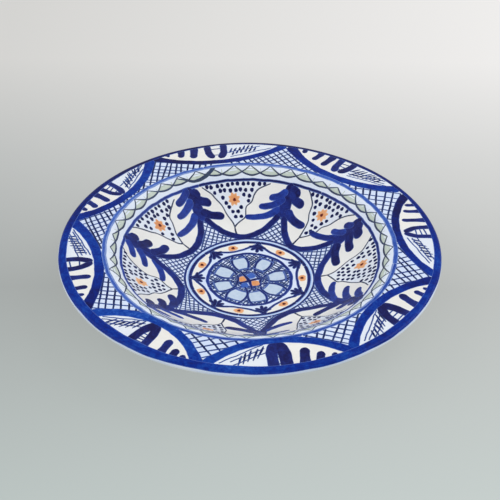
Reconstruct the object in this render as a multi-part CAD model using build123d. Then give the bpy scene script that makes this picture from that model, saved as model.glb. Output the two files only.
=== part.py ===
"""Hand painted ceramic plate: a thrown clay body, its glaze coats, and each pass of painted decoration.

Millimetres, +Z up. The origin is on the table under the plate's centre. Bearings are in degrees,
clockwise from +Y as seen from above. Paint is laid out flat in the XY plane and then cut from a thin
shell that follows the top of the front glaze.
"""

import os
from math import asin, atan2, ceil, cos, degrees, pi, radians, sin, tan

from build123d import *

# Driving dimensions of the thrown form.
RIM_RADIUS = 180.0
WELL_CENTRE_HEIGHT = 12.2
CLAY_THICKNESS = 5.5
GLAZE = 0.5
PAINT = 0.15
WASH = 0.08
FLOOR_ARC_RADIUS = 600.0
FLOOR_ARC_SLOPE = 5.5
COVE_ARC_RADIUS = 104.0
WALL_SLOPE = 37.0
WALL_LENGTH = 22.5
CREST_ARC_RADIUS = 16.0
FLANGE_SLOPE = -3.1
FOOT_OUTER = 80.0
FOOT_INNER = 71.0
FOOT_TAPER = 1.5
FOOT_ROOT_HEIGHT = 15.0
FOOT_ROUNDING = 1.2
BARE_FOOT = 2.0
TALL = 80.0

# The flange runs out until the half-round lip reaches the rim radius.
FLOOR_END = (FLOOR_ARC_RADIUS - GLAZE) * sin(radians(FLOOR_ARC_SLOPE))
COVE_END = FLOOR_END + (COVE_ARC_RADIUS - GLAZE) * (
    sin(radians(WALL_SLOPE)) - sin(radians(FLOOR_ARC_SLOPE))
)
CREST_START = COVE_END + WALL_LENGTH * cos(radians(WALL_SLOPE))
CREST_END = CREST_START + CREST_ARC_RADIUS * (sin(radians(WALL_SLOPE)) - sin(radians(FLANGE_SLOPE)))
LIP_RADIUS = CLAY_THICKNESS / 2
LIP_CENTRE_SHIFT = LIP_RADIUS * sin(radians(FLANGE_SLOPE))
FLANGE_END = RIM_RADIUS - GLAZE - PAINT - LIP_RADIUS - LIP_CENTRE_SHIFT
FLANGE_LENGTH = (FLANGE_END - CREST_END) / cos(radians(FLANGE_SLOPE))

# Radii of the painted borders, and widths of the brushes.
LIP_BAND_INNER = 173.5
LIP_BAND_DROP = 1.5
WELL_EDGE = (135.2, 138.6)
CHAIN_WASH = (127.0, 134.8)
CAVETTO_LINE = (121.4, 123.4)
MEDALLION_OUTER_RING = (60.0, 61.0)
MEDALLION_INNER_RING = (54.6, 56.6)
ROSETTE_RING = (38.6, 41.2)
BOLD = 8.0
PETAL_BOLD = 5.6
LEAF_BOLD = 5.4
FINE = 1.1
HAIR = 0.8
CLEAR = 0.3

# Bearings of the painted motifs, as uneven as a free hand spaces them.
RIM_JUNCTIONS = (324.4, 372.1, 417.0, 461.8, 507.9, 553.8, 595.9, 644.4)
STEMS = (329.8, 379.5, 421.8, 481.1, 534.1, 589.7, 641.8)
FLORETS = (351.2, 401.7, 450.1, 505.2, 560.9, 613.2, 663.8)
ALMONDS = (341.0, 396.3, 447.6, 500.7, 550.5, 605.4, 654.4)

# Rim motifs: radii, and places across a lunette from -1 to 1.
JUNCTION_RADIUS = 178.5
ARC_MIDDLE_RADIUS = 143.2
TEETH = ((-0.74, -0.72, 168.5, 3.6), (-0.45, -0.52, 161.5, 5.4), (-0.28, -0.34, 156.0, 6.4))
TOOTH_TAPER = (1.25, 1.1, 1.0, 0.9, 0.35)
LEAF_PLACE = (-0.12, 0.11)
LEAF_TIP = (-0.04, 151.5)
LEAF_SLIT_SHARE = 0.40
LEAF_SLIT_END = 7.0
LEAF_TICK_SHARE = 0.34
TICK_SHARES = (0.16, 0.34, 0.52)
HATCH_START = (0.14, 152.5)
HATCH_END = (0.70, 171.0)
HATCH_TICKS = 8
HATCH_TICK_LENGTH = 8.0
HATCH_TICK_SLANT = 0.7
HATCH_TICK_REACH = 0.62
HATCH_TICK_GAP = 1.6
HATCH_TICK_SPREAD = 0.5
RIM_LATTICE_PITCH = 7.0
RIM_LATTICE_REACH = 50.0
RIM_LATTICE_HALF_ANGLE = 24.0

# Well motifs.
PETAL_TOP_RADIUS = 121.0
PETAL_BASE_RADIUS = 65.0
PETAL_ROUNDNESS = 3.0
PETAL_STATIONS = 17
STEM_SHARE = 0.955
LOBES = (
    ((118.0, 0.0), (113.0, 5.5), (110.0, 9.0)),
    ((112.0, 0.0), (105.5, 7.0), (101.5, 12.0)),
    ((103.0, 0.5), (90.0, 7.5), (87.5, 17.5)),
)
LOBE_TAPER = (0.6, 0.9, 1.0, 1.0, 0.9, 0.3)
FAN_SIDE = ((78.0, 0.0), (90.5, 5.5), (103.5, 8.5), (110.5, 11.0), (119.5, 16.0))
FAN_TAIL = (78.0, 69.0)
DOT_RADIUS = 1.6
DOT_ROWS = (116.5, 110.5, 104.5, 98.5, 92.5, 86.5)
DOT_PITCH = 7.0
DOT_LIFT = 0.03
DOT_FLORET_GAP = 2.4
FLORET_CENTRE_RADIUS = 105.5
FLORET_RADIUS = 6.2
FLORET_MIDDLE_RADIUS = 4.5
FLORET_LOBES = 7
FLORET_LOBE_PLACE = 4.1
FLORET_LOBE_RADIUS = 2.1
HEART_RADIUS = 1.9
STAR_LATTICE_PITCH = 6.0
STAR_LATTICE_REACH = 30.0
STAR_LATTICE_HALF_ANGLE = 22.0
STAR_REACH = 86.0
CHAIN_CUSPS = 44
CHAIN_RADII = (134.6, 127.3)

# Medallion motifs.
ALMOND_ARC_RADIUS = 45.2
ALMOND_DOT_RADIUS = 50.0
ALMOND_BLUSH = 2.6
ALMOND_HEART = 1.1
ALMOND_LINE = 1.8
PALMETTE_SPREADS = (-60, -28, 0, 28, 60)
PALMETTE_LENGTH = 10.5
PALMETTE_SIDE_LENGTH = 7.5
PALMETTE_WIDTHS = (1.2, 2.2, 2.6, 2.2, 0.7)
ROSETTE_COUNT = 8
ROSETTE_TURN = 25.0
ROSETTE_CIRCLE = 13.7
ROSETTE_CIRCLE_PLACE = 21.6
ROSETTE_LINE = 1.3
ROSETTE_LATTICE_PITCH = 4.0
ROSETTE_OPEN_CENTRE = 12.0
CELL_START = 15.5
DIAMOND_PLACE = 6.8
DIAMOND_SIZE = 6.4
ORANGE_DIAMONDS = (128.0, 291.0)
BLUE_DIAMONDS = (27.0, 216.0)


def spot(radius, bearing):
    """Plan point at a radius and a bearing."""
    return Vector(radius * sin(radians(bearing)), radius * cos(radians(bearing)))


def middle_and_half(marks, index):
    """Middle bearing and half the span between one mark and the next, going clockwise."""
    start = marks[index]
    end = marks[index + 1] if index + 1 < len(marks) else marks[0] + 360
    return (start + end) / 2, (end - start) / 2


# ---------------------------------------------------------------- thrown form


def turn(start, slope, end_slope, radius, hollow):
    """Arc of the section from one slope to another; hollow means that its centre is above it."""
    side = 1 if hollow else -1
    centre = (start[0] - side * radius * sin(radians(slope)), start[1] + side * radius * cos(radians(slope)))

    def on_arc(angle):
        across = side * radius * sin(radians(angle))
        return centre[0] + across, centre[1] - side * radius * cos(radians(angle))

    end = on_arc(end_slope)
    return ThreePointArc(start, on_arc((slope + end_slope) / 2), end), end


def run(start, slope, length):
    """Straight stretch of the section."""
    end = (start[0] + length * cos(radians(slope)), start[1] + length * sin(radians(slope)))
    return Line(start, end), end


def section(lift, flange_length=FLANGE_LENGTH):
    """Curve from the axis to the lip, parallel to the clay's upper face and lift above it."""
    start = (0.0, WELL_CENTRE_HEIGHT - GLAZE + lift)
    floor, at = turn(start, 0, FLOOR_ARC_SLOPE, FLOOR_ARC_RADIUS - lift, True)
    cove, at = turn(at, FLOOR_ARC_SLOPE, WALL_SLOPE, COVE_ARC_RADIUS - lift, True)
    wall, at = run(at, WALL_SLOPE, WALL_LENGTH)
    crest, at = turn(at, WALL_SLOPE, FLANGE_SLOPE, CREST_ARC_RADIUS + lift, False)
    flange, end = run(at, FLANGE_SLOPE, flange_length)
    return [floor, cove, wall, crest, flange], start, end


def dish(swell):
    """The dish with no foot, swollen all round by a coat of that thickness."""
    upper, top_start, top_end = section(swell)
    lower, base_start, base_end = section(-CLAY_THICKNESS - swell)
    middle = ((top_end[0] + base_end[0]) / 2, (top_end[1] + base_end[1]) / 2)
    reach = LIP_RADIUS + swell
    edge = (middle[0] + reach * cos(radians(FLANGE_SLOPE)), middle[1] + reach * sin(radians(FLANGE_SLOPE)))
    lip = ThreePointArc(top_end, edge, base_end)
    outline = upper + [lip] + lower + [Line(base_start, top_start)]
    return revolve(Plane.XZ * make_face(outline), Axis.Z)


def foot_ring(swell, base):
    """Tapered ring under the dish, swollen sideways by swell, from base up into the clay."""
    top = FOOT_ROOT_HEIGHT
    lean = FOOT_TAPER * (top - base) / top
    corners = Polyline(
        (FOOT_INNER - swell + lean, base),
        (FOOT_OUTER + swell - lean, base),
        (FOOT_OUTER + swell, top),
        (FOOT_INNER - swell, top),
        close=True,
    )
    ring = revolve(Plane.XZ * make_face(corners), Axis.Z)
    if base > 0:
        return ring
    return fillet(ring.edges().group_by(Axis.Z)[0], FOOT_ROUNDING)


def above_middle():
    """Everything above the surface halfway through the clay."""
    curve, start, end = section(-CLAY_THICKNESS / 2, FLANGE_LENGTH + TALL)
    outline = curve + [Polyline(end, (end[0], TALL), (0, TALL), start)]
    return revolve(Plane.XZ * make_face(outline), Axis.Z)


def coats(clay_body):
    """Front, back and foot-well glaze: one skin, parted at the lip's edge and under the foot ring."""
    skin = dish(GLAZE) + foot_ring(GLAZE, BARE_FOOT) - clay_body
    front = skin & above_middle()
    under = skin - above_middle()
    foot_middle = Cylinder((FOOT_INNER + FOOT_OUTER) / 2, 2 * TALL)
    return front, under - foot_middle, under & foot_middle


def coat_shell(base, thickness):
    """Shell over the front that a coat of paint is cut from."""
    low, low_start, low_end = section(base)
    high, high_start, high_end = section(base + thickness)
    outline = low + high + [Line(low_start, high_start), Line(low_end, high_end)]
    return revolve(Plane.XZ * make_face(outline), Axis.Z)


PAINT_SHELL = coat_shell(GLAZE, PAINT)
WASH_SHELL = coat_shell(GLAZE, WASH)
OVER_WASH_SHELL = coat_shell(GLAZE + WASH, PAINT)


def lay(sketch, shell=PAINT_SHELL):
    """Paint laid on the glaze: the shell inside a flat sketch."""
    solids = []
    for face in sketch.faces():
        cut = extrude(face, TALL, dir=(0, 0, 1)) & shell
        solids += list(cut.solids())
    return Compound(children=solids)


def well_face(radius):
    """Height and slope, in degrees, of the glazed face at a radius on the cove or the wall."""
    if radius > COVE_END:
        top = WELL_CENTRE_HEIGHT + well_rise(WALL_SLOPE)
        return top + (radius - COVE_END) * tan(radians(WALL_SLOPE)), WALL_SLOPE
    slope = degrees(asin(sin(radians(FLOOR_ARC_SLOPE)) + (radius - FLOOR_END) / (COVE_ARC_RADIUS - GLAZE)))
    return WELL_CENTRE_HEIGHT + well_rise(slope), slope


def well_rise(slope):
    """Rise from the well's centre to the place on the cove with that slope."""
    floor = (FLOOR_ARC_RADIUS - GLAZE) * (1 - cos(radians(FLOOR_ARC_SLOPE)))
    return floor + (COVE_ARC_RADIUS - GLAZE) * (cos(radians(FLOOR_ARC_SLOPE)) - cos(radians(slope)))


def drops(places, size):
    """Small round drops of paint, each flat on the face of the well at a radius and bearing."""
    shapes = []
    for radius, bearing in places:
        height, slope = well_face(radius)
        at = spot(radius, bearing)
        inward = spot(-sin(radians(slope)), bearing)
        face = Plane(origin=(at.X, at.Y, height), z_dir=(inward.X, inward.Y, cos(radians(slope))))
        lift = Pos(0, 0, DOT_LIFT + PAINT / 2)
        shapes.append(face * lift * Cylinder(size, PAINT))
    return Compound(children=shapes)


# ---------------------------------------------------------------- flat drawing


def ring(inner, outer):
    return Circle(outer) - Circle(inner)


def disc(place, radius):
    return Pos(place.X, place.Y) * Circle(radius)


def stroke(points, widths):
    """Brush stroke along a smooth line through points, with its width at evenly spread stations."""
    line = Spline(*points) if len(points) > 2 else Line(*points)
    left = []
    right = []
    for station, width in enumerate(widths):
        share = station / (len(widths) - 1)
        at = line.position_at(share)
        along = line.tangent_at(share)
        side = Vector(-along.Y, along.X) * (width / 2)
        left.append(at + side)
        right.append(at - side)
    right.reverse()
    outline = [Spline(*left), Line(left[-1], right[0]), Spline(*right), Line(right[-1], left[0])]
    return make_face(outline)


def even_stroke(points, width):
    """Stroke of one width."""
    return stroke(points, (width,) * (4 * len(points) - 3))


def bar(start, end, width):
    """Straight fine line."""
    along = end - start
    middle = start + along / 2
    turned = Rot(0, 0, degrees(atan2(along.Y, along.X))) * Rectangle(along.length, width)
    return Pos(middle.X, middle.Y) * turned


def joined(faces):
    """Flat faces fused where they touch."""
    return Sketch() + list(faces)


def lattice(place, bearing, reach, pitch, width):
    """Two crossed sets of fine lines about a place, at 45 degrees to the bearing."""
    bars = []
    count = ceil(reach / pitch)
    for slant in (45, 135):
        for step in range(-count, count + 1):
            line = Pos(step * pitch, 0) * Rectangle(width, 2 * reach)
            bars.append(Pos(place.X, place.Y) * Rot(0, 0, slant - bearing) * line)
    return joined(bars)


# ---------------------------------------------------------------- rim


def lip_band(glazed_form):
    """Cobalt band over the lip, from the flange to just under the lip's edge."""
    swollen = dish(GLAZE + PAINT) - glazed_form
    _, _, flange_end = section(0)
    keep_above = flange_end[1] - LIP_RADIUS - LIP_BAND_DROP
    outside = Cylinder(2 * RIM_RADIUS, TALL) - Cylinder(LIP_BAND_INNER, TALL)
    keep = Pos(0, 0, keep_above + TALL / 2) * outside
    return swollen & keep


def lunette_circle(index):
    """Centre and radius of the circle that a rim arc follows, through two junctions and down to the well."""
    bearing, half = middle_and_half(RIM_JUNCTIONS, index)
    half_chord = JUNCTION_RADIUS * sin(radians(half))
    depth = JUNCTION_RADIUS * cos(radians(half)) - ARC_MIDDLE_RADIUS
    radius = (half_chord**2 + depth**2) / (2 * depth)
    return spot(ARC_MIDDLE_RADIUS + radius, bearing), radius


FLANGE = ring(WELL_EDGE[1] + CLEAR, LIP_BAND_INNER - CLEAR)
LUNETTE_CIRCLES = [lunette_circle(index) for index in range(len(RIM_JUNCTIONS))]


def rim_arcs():
    bands = [disc(at, radius + BOLD / 2) - disc(at, radius - BOLD / 2) for at, radius in LUNETTE_CIRCLES]
    lunettes = joined(disc(at, radius - BOLD / 2) for at, radius in LUNETTE_CIRCLES)
    return (joined(bands) - lunettes) & FLANGE


def lunette_field(index):
    """Open ground of one lunette."""
    at, radius = LUNETTE_CIRCLES[index]
    return disc(at, radius - BOLD / 2 - CLEAR) & FLANGE


def in_lunette(index, place, radius):
    """Point in a lunette, from its place across and its radius."""
    bearing, half = middle_and_half(RIM_JUNCTIONS, index)
    return spot(radius, bearing + place * half)


def comb_teeth(index):
    teeth = []
    for root, tip, tip_radius, width in TEETH:
        start = in_lunette(index, root, LIP_BAND_INNER + 1)
        end = in_lunette(index, tip, tip_radius)
        teeth.append(stroke((start, end), [share * width for share in TOOTH_TAPER]))
    return joined(teeth) & lunette_field(index)


def leaf_outline(index, share, tip_radius):
    """Pointed leaf from the lip down to its tip, as wide as a share of the full leaf."""
    middle = sum(LEAF_PLACE) / 2
    half = share * (LEAF_PLACE[1] - LEAF_PLACE[0]) / 2
    shoulder = (LIP_BAND_INNER + tip_radius) / 2
    left = Spline(
        in_lunette(index, middle - half, LIP_BAND_INNER + 1),
        in_lunette(index, middle - half, shoulder),
        in_lunette(index, LEAF_TIP[0], tip_radius),
    )
    right = Spline(
        in_lunette(index, middle + half, LIP_BAND_INNER + 1),
        in_lunette(index, middle + 0.9 * half, shoulder),
        in_lunette(index, LEAF_TIP[0], tip_radius),
    )
    return make_face([left, right, Line(left @ 0, right @ 0)])


def leaf_slit(index, share=LEAF_SLIT_SHARE):
    return leaf_outline(index, share, LEAF_TIP[1] + LEAF_SLIT_END)


def leaf_loop(index):
    return (leaf_outline(index, 1, LEAF_TIP[1]) - leaf_slit(index)) & lunette_field(index)


def leaf_ticks(index):
    """Short ticks across the slit, clear of its sides."""
    slit = leaf_slit(index, LEAF_TICK_SHARE) & lunette_field(index)
    ticks = []
    for share in TICK_SHARES:
        radius = LIP_BAND_INNER + share * (LEAF_TIP[1] - LIP_BAND_INNER)
        ends = [in_lunette(index, place, radius) for place in LEAF_PLACE]
        ticks.append(bar(ends[0], ends[1], FINE))
    return joined(ticks) & slit


def hatch_lines(index):
    """Fine line from the leaf's tip out to the lip, with a row of slanted ticks beside it."""
    start = in_lunette(index, *HATCH_START)
    end = in_lunette(index, *HATCH_END)
    along = (end - start).normalized()
    out = Vector(-along.Y, along.X)
    tick = (out + along * HATCH_TICK_SLANT).normalized() * HATCH_TICK_LENGTH
    lines = [bar(start, end, HAIR)]
    for step in range(1, HATCH_TICKS + 1):
        beside = start + (end - start) * (HATCH_TICK_REACH * step / HATCH_TICKS)
        foot = beside + out * (HATCH_TICK_GAP + HATCH_TICK_SPREAD * step)
        lines.append(bar(foot, foot + tick, FINE))
    return joined(lines) & lunette_field(index)


def rim_lattice():
    ground = FLANGE - joined(disc(at, radius + BOLD / 2 + CLEAR) for at, radius in LUNETTE_CIRCLES)
    nets = []
    for bearing in RIM_JUNCTIONS:
        place = spot((WELL_EDGE[1] + JUNCTION_RADIUS) / 2, bearing)
        net = lattice(place, bearing, RIM_LATTICE_REACH, RIM_LATTICE_PITCH, FINE)
        nets.append(net & wedge(bearing, RIM_LATTICE_HALF_ANGLE) & ground)
    return joined(nets)


def wedge(bearing, half):
    """Slice of the plan about a bearing."""
    corners = Polyline(
        (0, 0), spot(2 * RIM_RADIUS, bearing - half), spot(2 * RIM_RADIUS, bearing + half), close=True
    )
    return make_face(corners)


# ---------------------------------------------------------------- chain border


def chain_scallops():
    """Fine scallops, each from a cusp to the next but one, so that they overlap."""
    lines = []
    step = 360 / CHAIN_CUSPS
    high, low = CHAIN_RADII
    for cusp in range(CHAIN_CUSPS):
        start = cusp * step
        points = [spot(high, start), spot(low, start + step), spot(high, start + 2 * step)]
        lines.append(even_stroke(points, HAIR))
    return joined(lines) & ring(CHAIN_RADII[1] - 1.0, WELL_EDGE[0] - CLEAR)


# ---------------------------------------------------------------- star of petals


def petal_point(index, angle):
    """Point of a petal's U-shaped line; angle goes from 0 at one stem to pi at the other."""
    bearing, half = middle_and_half(STEMS, index)
    power = 2 / PETAL_ROUNDNESS
    across = abs(cos(angle)) ** power * (1 if cos(angle) < 0 else -1)
    down = abs(sin(angle)) ** power
    radius = PETAL_TOP_RADIUS - down * (PETAL_TOP_RADIUS - PETAL_BASE_RADIUS)
    return spot(radius, bearing + across * half * STEM_SHARE)


def petal_arc(index):
    """Bold arc down one stem, round the petal's base and up the next stem."""
    shares = [station / (PETAL_STATIONS - 1) for station in range(PETAL_STATIONS)]
    points = [petal_point(index, pi * share) for share in shares]
    return even_stroke(points, PETAL_BOLD)


def petal_ground(index):
    """Everything inside the middle line of a petal's arc."""
    shares = [station / (PETAL_STATIONS - 1) for station in range(PETAL_STATIONS)]
    points = [petal_point(index, pi * share) for share in shares]
    return make_face([Spline(*points), Line(points[-1], points[0])])


WELL = Circle(CAVETTO_LINE[0] - CLEAR)
PETAL_ARCS = joined(petal_arc(index) for index in range(len(STEMS))) & WELL


def leaf_spray(stem):
    """Three curved lobes on each side of a stem."""
    lobes = []
    for side in (-1, 1):
        for root, bend, tip in LOBES:
            points = [spot(radius, stem + side * shift) for radius, shift in (root, bend, tip)]
            lobes.append(stroke(points, [share * LEAF_BOLD for share in LOBE_TAPER]))
    return joined(lobes) & WELL


def leaf_sprays():
    return joined(leaf_spray(stem) for stem in STEMS) - PETAL_ARCS


def fan_side(bearing, side):
    return [spot(radius, bearing + side * shift) for radius, shift in FAN_SIDE]


def petal_outline(bearing):
    """Two waved lines that open from an apex to the border, and a short tail to the arc."""
    sides = [even_stroke(fan_side(bearing, side), HAIR) for side in (-1, 1)]
    tail = bar(spot(FAN_TAIL[0], bearing), spot(FAN_TAIL[1], bearing), HAIR)
    return joined(sides + [tail])


def petal_dots(bearing):
    """Rows of dots inside one fan, clear of its outline and its floret."""
    dots = []
    radii = [radius for radius, _ in FAN_SIDE]
    shifts = [shift for _, shift in FAN_SIDE]
    for row, radius in enumerate(DOT_ROWS):
        edge = next(i for i in range(1, len(radii)) if radius <= radii[i])
        share = (radius - radii[edge - 1]) / (radii[edge] - radii[edge - 1])
        shift = shifts[edge - 1] + share * (shifts[edge] - shifts[edge - 1])
        half_width = radius * radians(shift) - 2 * DOT_RADIUS
        count = int(2 * half_width / DOT_PITCH) + row % 2
        for step in range(count):
            across = (step - (count - 1) / 2) * DOT_PITCH
            if abs(across) > half_width:
                continue
            if (across**2 + (radius - FLORET_CENTRE_RADIUS) ** 2) ** 0.5 < FLORET_RADIUS + DOT_FLORET_GAP:
                continue
            dots.append((radius, bearing + degrees(across / radius)))
    return dots


def floret(bearing):
    """Ragged blob: short round lobes about a middle, with the heart's place left open."""
    at = spot(FLORET_CENTRE_RADIUS, bearing)
    lobes = [disc(at, FLORET_MIDDLE_RADIUS)]
    for step in range(FLORET_LOBES):
        lobe = at + Vector(FLORET_LOBE_PLACE, 0).rotate(Axis.Z, 360 * step / FLORET_LOBES + bearing)
        lobes.append(disc(lobe, FLORET_LOBE_RADIUS))
    return joined(lobes) - disc(at, HEART_RADIUS)


def star_lattice():
    """Lattice between the petals and the medallion, one piece of it inside each stem."""
    nets = []
    ground = ring(MEDALLION_OUTER_RING[1] + CLEAR, STAR_REACH)
    ground = ground - joined(petal_ground(index) for index in range(len(STEMS))) - PETAL_ARCS
    for stem in STEMS:
        place = spot((MEDALLION_OUTER_RING[1] + STAR_REACH) / 2, stem)
        net = lattice(place, stem, STAR_LATTICE_REACH, STAR_LATTICE_PITCH, HAIR)
        nets.append(net & wedge(stem, STAR_LATTICE_HALF_ANGLE) & ground)
    return joined(nets)


# ---------------------------------------------------------------- medallion


def medallion_rings():
    return ring(*MEDALLION_OUTER_RING) + ring(*MEDALLION_INNER_RING)


def almond_ends(index):
    """Bearings of the two palmettes that an almond lies between."""
    before = ALMONDS[index - 1] - (360 if index == 0 else 0)
    after = ALMONDS[(index + 1) % len(ALMONDS)] + (360 if index == len(ALMONDS) - 1 else 0)
    return (before + ALMONDS[index]) / 2, (ALMONDS[index] + after) / 2


def almond_outline(index):
    """Inner arc of an almond, from one palmette to the next."""
    start, end = almond_ends(index)
    root_radius = MEDALLION_INNER_RING[0] - ALMOND_LINE / 2
    points = [spot(root_radius, start), spot(ALMOND_ARC_RADIUS, ALMONDS[index]), spot(root_radius, end)]
    return even_stroke(points, ALMOND_LINE)


def almond_blush(bearing):
    """Orange dot with the heart's place left open."""
    at = spot(ALMOND_DOT_RADIUS, bearing)
    return disc(at, ALMOND_BLUSH) - disc(at, ALMOND_HEART)


ALMOND_OUTLINES = joined(almond_outline(index) for index in range(len(ALMONDS)))


def palmette(index):
    """Five short leaves that spread inward from the ring."""
    _, bearing = almond_ends(index)
    root = spot(MEDALLION_INNER_RING[0] - CLEAR, bearing)
    leaves = []
    for spread in PALMETTE_SPREADS:
        outermost = abs(spread) / PALMETTE_SPREADS[-1]
        length = PALMETTE_LENGTH + outermost * (PALMETTE_SIDE_LENGTH - PALMETTE_LENGTH)
        tip = root + Vector(0, -length).rotate(Axis.Z, -bearing + spread)
        leaves.append(stroke((root, tip), PALMETTE_WIDTHS))
    return joined(leaves)


def palmettes():
    field = ring(ROSETTE_RING[1] + CLEAR, MEDALLION_INNER_RING[0] - CLEAR)
    return (joined(palmette(index) for index in range(len(ALMONDS))) & field) - ALMOND_OUTLINES


def rosette_circles(grow):
    """The eight interlaced circles, as discs larger than their middle lines by grow."""
    discs = []
    for step in range(ROSETTE_COUNT):
        place = spot(ROSETTE_CIRCLE_PLACE, ROSETTE_TURN + step * 360 / ROSETTE_COUNT)
        discs.append(disc(place, ROSETTE_CIRCLE + grow))
    return discs


def rosette_rings():
    """Interlaced circles, open at the centre where the diamonds lie, and the ring round them."""
    outer = rosette_circles(ROSETTE_LINE / 2)
    inner = rosette_circles(-ROSETTE_LINE / 2)
    circles = joined(large - small for large, small in zip(outer, inner))
    return circles - Circle(ROSETTE_OPEN_CENTRE) + ring(*ROSETTE_RING)


ROSETTE_RINGS = rosette_rings()


def rosette_cells():
    """Wash in the part of each circle that no other circle covers, out past the crossings."""
    discs = rosette_circles(-ROSETTE_LINE / 2 - CLEAR)
    wide = rosette_circles(ROSETTE_LINE / 2 + CLEAR)
    cells = []
    for step, cell in enumerate(discs):
        others = wide[step - 1] + wide[(step + 1) % ROSETTE_COUNT]
        cells.append((cell - others) & ring(CELL_START, ROSETTE_RING[0]))
    return joined(cells)


def rosette_lattice():
    """Fine lattice in the lenses where circles overlap, and outside them up to the ring."""
    wide = rosette_circles(ROSETTE_LINE / 2)
    slim = rosette_circles(-ROSETTE_LINE / 2 - CLEAR)
    ground = ring(CELL_START, ROSETTE_RING[0] - CLEAR) - joined(wide)
    for step, one in enumerate(slim):
        ground = ground + ((one & slim[step - 1]) & ring(CELL_START, ROSETTE_RING[0]))
    net = lattice(Vector(0, 0), ROSETTE_TURN, ROSETTE_RING[0], ROSETTE_LATTICE_PITCH, HAIR)
    return net & ground


def diamonds(turns):
    """Diamonds about the centre, one at each turn."""
    shapes = []
    for turn_to in turns:
        at = spot(DIAMOND_PLACE, turn_to)
        shapes.append(Pos(at.X, at.Y) * Rot(0, 0, 45 - turn_to) * Rectangle(DIAMOND_SIZE, DIAMOND_SIZE))
    return joined(shapes)


# ---------------------------------------------------------------- writing


def each(marks, draw):
    """One drawing for each mark, as one sketch."""
    return joined(draw(mark) for mark in marks)


def main():
    os.makedirs("parts", exist_ok=True)
    clay_body = dish(0) + foot_ring(0, 0)
    glazed_form = dish(GLAZE) + foot_ring(GLAZE, BARE_FOOT)
    front_glaze, back_glaze, foot_well_glaze = coats(clay_body)
    lunettes = range(len(RIM_JUNCTIONS))
    sprays = leaf_sprays()
    outlines = each(FLORETS, petal_outline) - sprays - PETAL_ARCS
    dots = [dot for bearing in FLORETS for dot in petal_dots(bearing)]
    nodes = {
        "clay_body": clay_body,
        "front_glaze": front_glaze,
        "back_glaze": back_glaze,
        "foot_well_glaze": foot_well_glaze,
        "lip_band": lip_band(glazed_form),
        "rim_arcs": lay(rim_arcs()),
        "rim_comb_teeth": lay(each(lunettes, comb_teeth)),
        "rim_leaf_loops": lay(each(lunettes, leaf_loop)),
        "rim_leaf_ticks": lay(each(lunettes, leaf_ticks)),
        "rim_hatch_lines": lay(each(lunettes, hatch_lines)),
        "rim_lattice": lay(rim_lattice()),
        "well_edge_line": lay(ring(*WELL_EDGE)),
        "chain_wash": lay(ring(*CHAIN_WASH), WASH_SHELL),
        "chain_scallops": lay(chain_scallops(), OVER_WASH_SHELL),
        "cavetto_line": lay(ring(*CAVETTO_LINE)),
        "petal_arcs": lay(PETAL_ARCS),
        "leaf_sprays": lay(sprays),
        "petal_outlines": lay(outlines),
        "petal_dots": drops(dots, DOT_RADIUS),
        "petal_florets": lay(each(FLORETS, floret)),
        "floret_hearts": drops([(FLORET_CENTRE_RADIUS, at) for at in FLORETS], HEART_RADIUS - CLEAR),
        "star_lattice": lay(star_lattice()),
        "medallion_rings": lay(medallion_rings()),
        "almond_outlines": lay(ALMOND_OUTLINES),
        "almond_blushes": lay(each(ALMONDS, almond_blush)),
        "almond_hearts": lay(each(ALMONDS, lambda at: disc(spot(ALMOND_DOT_RADIUS, at), ALMOND_HEART))),
        "palmettes": lay(palmettes()),
        "rosette_rings": lay(ROSETTE_RINGS),
        "rosette_lattice": lay(rosette_lattice()),
        "rosette_cells": lay(rosette_cells()),
        "centre_diamonds_orange": lay(diamonds(ORANGE_DIAMONDS)),
        "centre_diamonds_blue": lay(diamonds(BLUE_DIAMONDS)),
    }
    for name, shape in nodes.items():
        export_step(shape, f"parts/{name}.step", write_pcurves=False)


main()
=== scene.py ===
"""Looks of the hand painted ceramic plate: its clay, its glaze and every pass of the painter's brush.

Shapes are worked out in millimetres, in the frame's axes, and written to Blender in metres. Bearings are
in degrees, clockwise from +Y as seen from above. A stroke is drawn flat on the plan and then laid on the
glaze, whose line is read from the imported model.
"""

import math

import bpy
import numpy as np
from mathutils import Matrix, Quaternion, Vector


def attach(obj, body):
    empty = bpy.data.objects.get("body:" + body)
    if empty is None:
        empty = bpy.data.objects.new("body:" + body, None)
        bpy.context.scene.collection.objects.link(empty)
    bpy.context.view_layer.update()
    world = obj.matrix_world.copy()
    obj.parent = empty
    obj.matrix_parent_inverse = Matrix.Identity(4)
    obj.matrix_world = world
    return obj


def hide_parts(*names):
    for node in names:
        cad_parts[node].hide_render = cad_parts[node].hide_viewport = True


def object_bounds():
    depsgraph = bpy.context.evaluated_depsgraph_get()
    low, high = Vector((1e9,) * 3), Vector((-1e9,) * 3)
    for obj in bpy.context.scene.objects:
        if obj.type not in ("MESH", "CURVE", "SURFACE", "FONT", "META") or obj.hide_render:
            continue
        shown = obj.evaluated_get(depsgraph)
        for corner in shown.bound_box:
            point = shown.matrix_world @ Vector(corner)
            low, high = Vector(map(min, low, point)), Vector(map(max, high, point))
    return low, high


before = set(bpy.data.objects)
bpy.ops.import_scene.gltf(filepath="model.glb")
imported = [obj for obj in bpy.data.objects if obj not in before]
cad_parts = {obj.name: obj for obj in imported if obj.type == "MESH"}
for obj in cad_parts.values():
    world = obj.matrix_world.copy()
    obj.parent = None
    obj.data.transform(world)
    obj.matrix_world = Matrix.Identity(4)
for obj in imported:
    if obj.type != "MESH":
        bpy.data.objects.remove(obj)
CAD_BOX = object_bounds()

MM = 0.001
RIM = CAD_BOX[1].x / MM
LIP_TOP = 50.2

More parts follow.
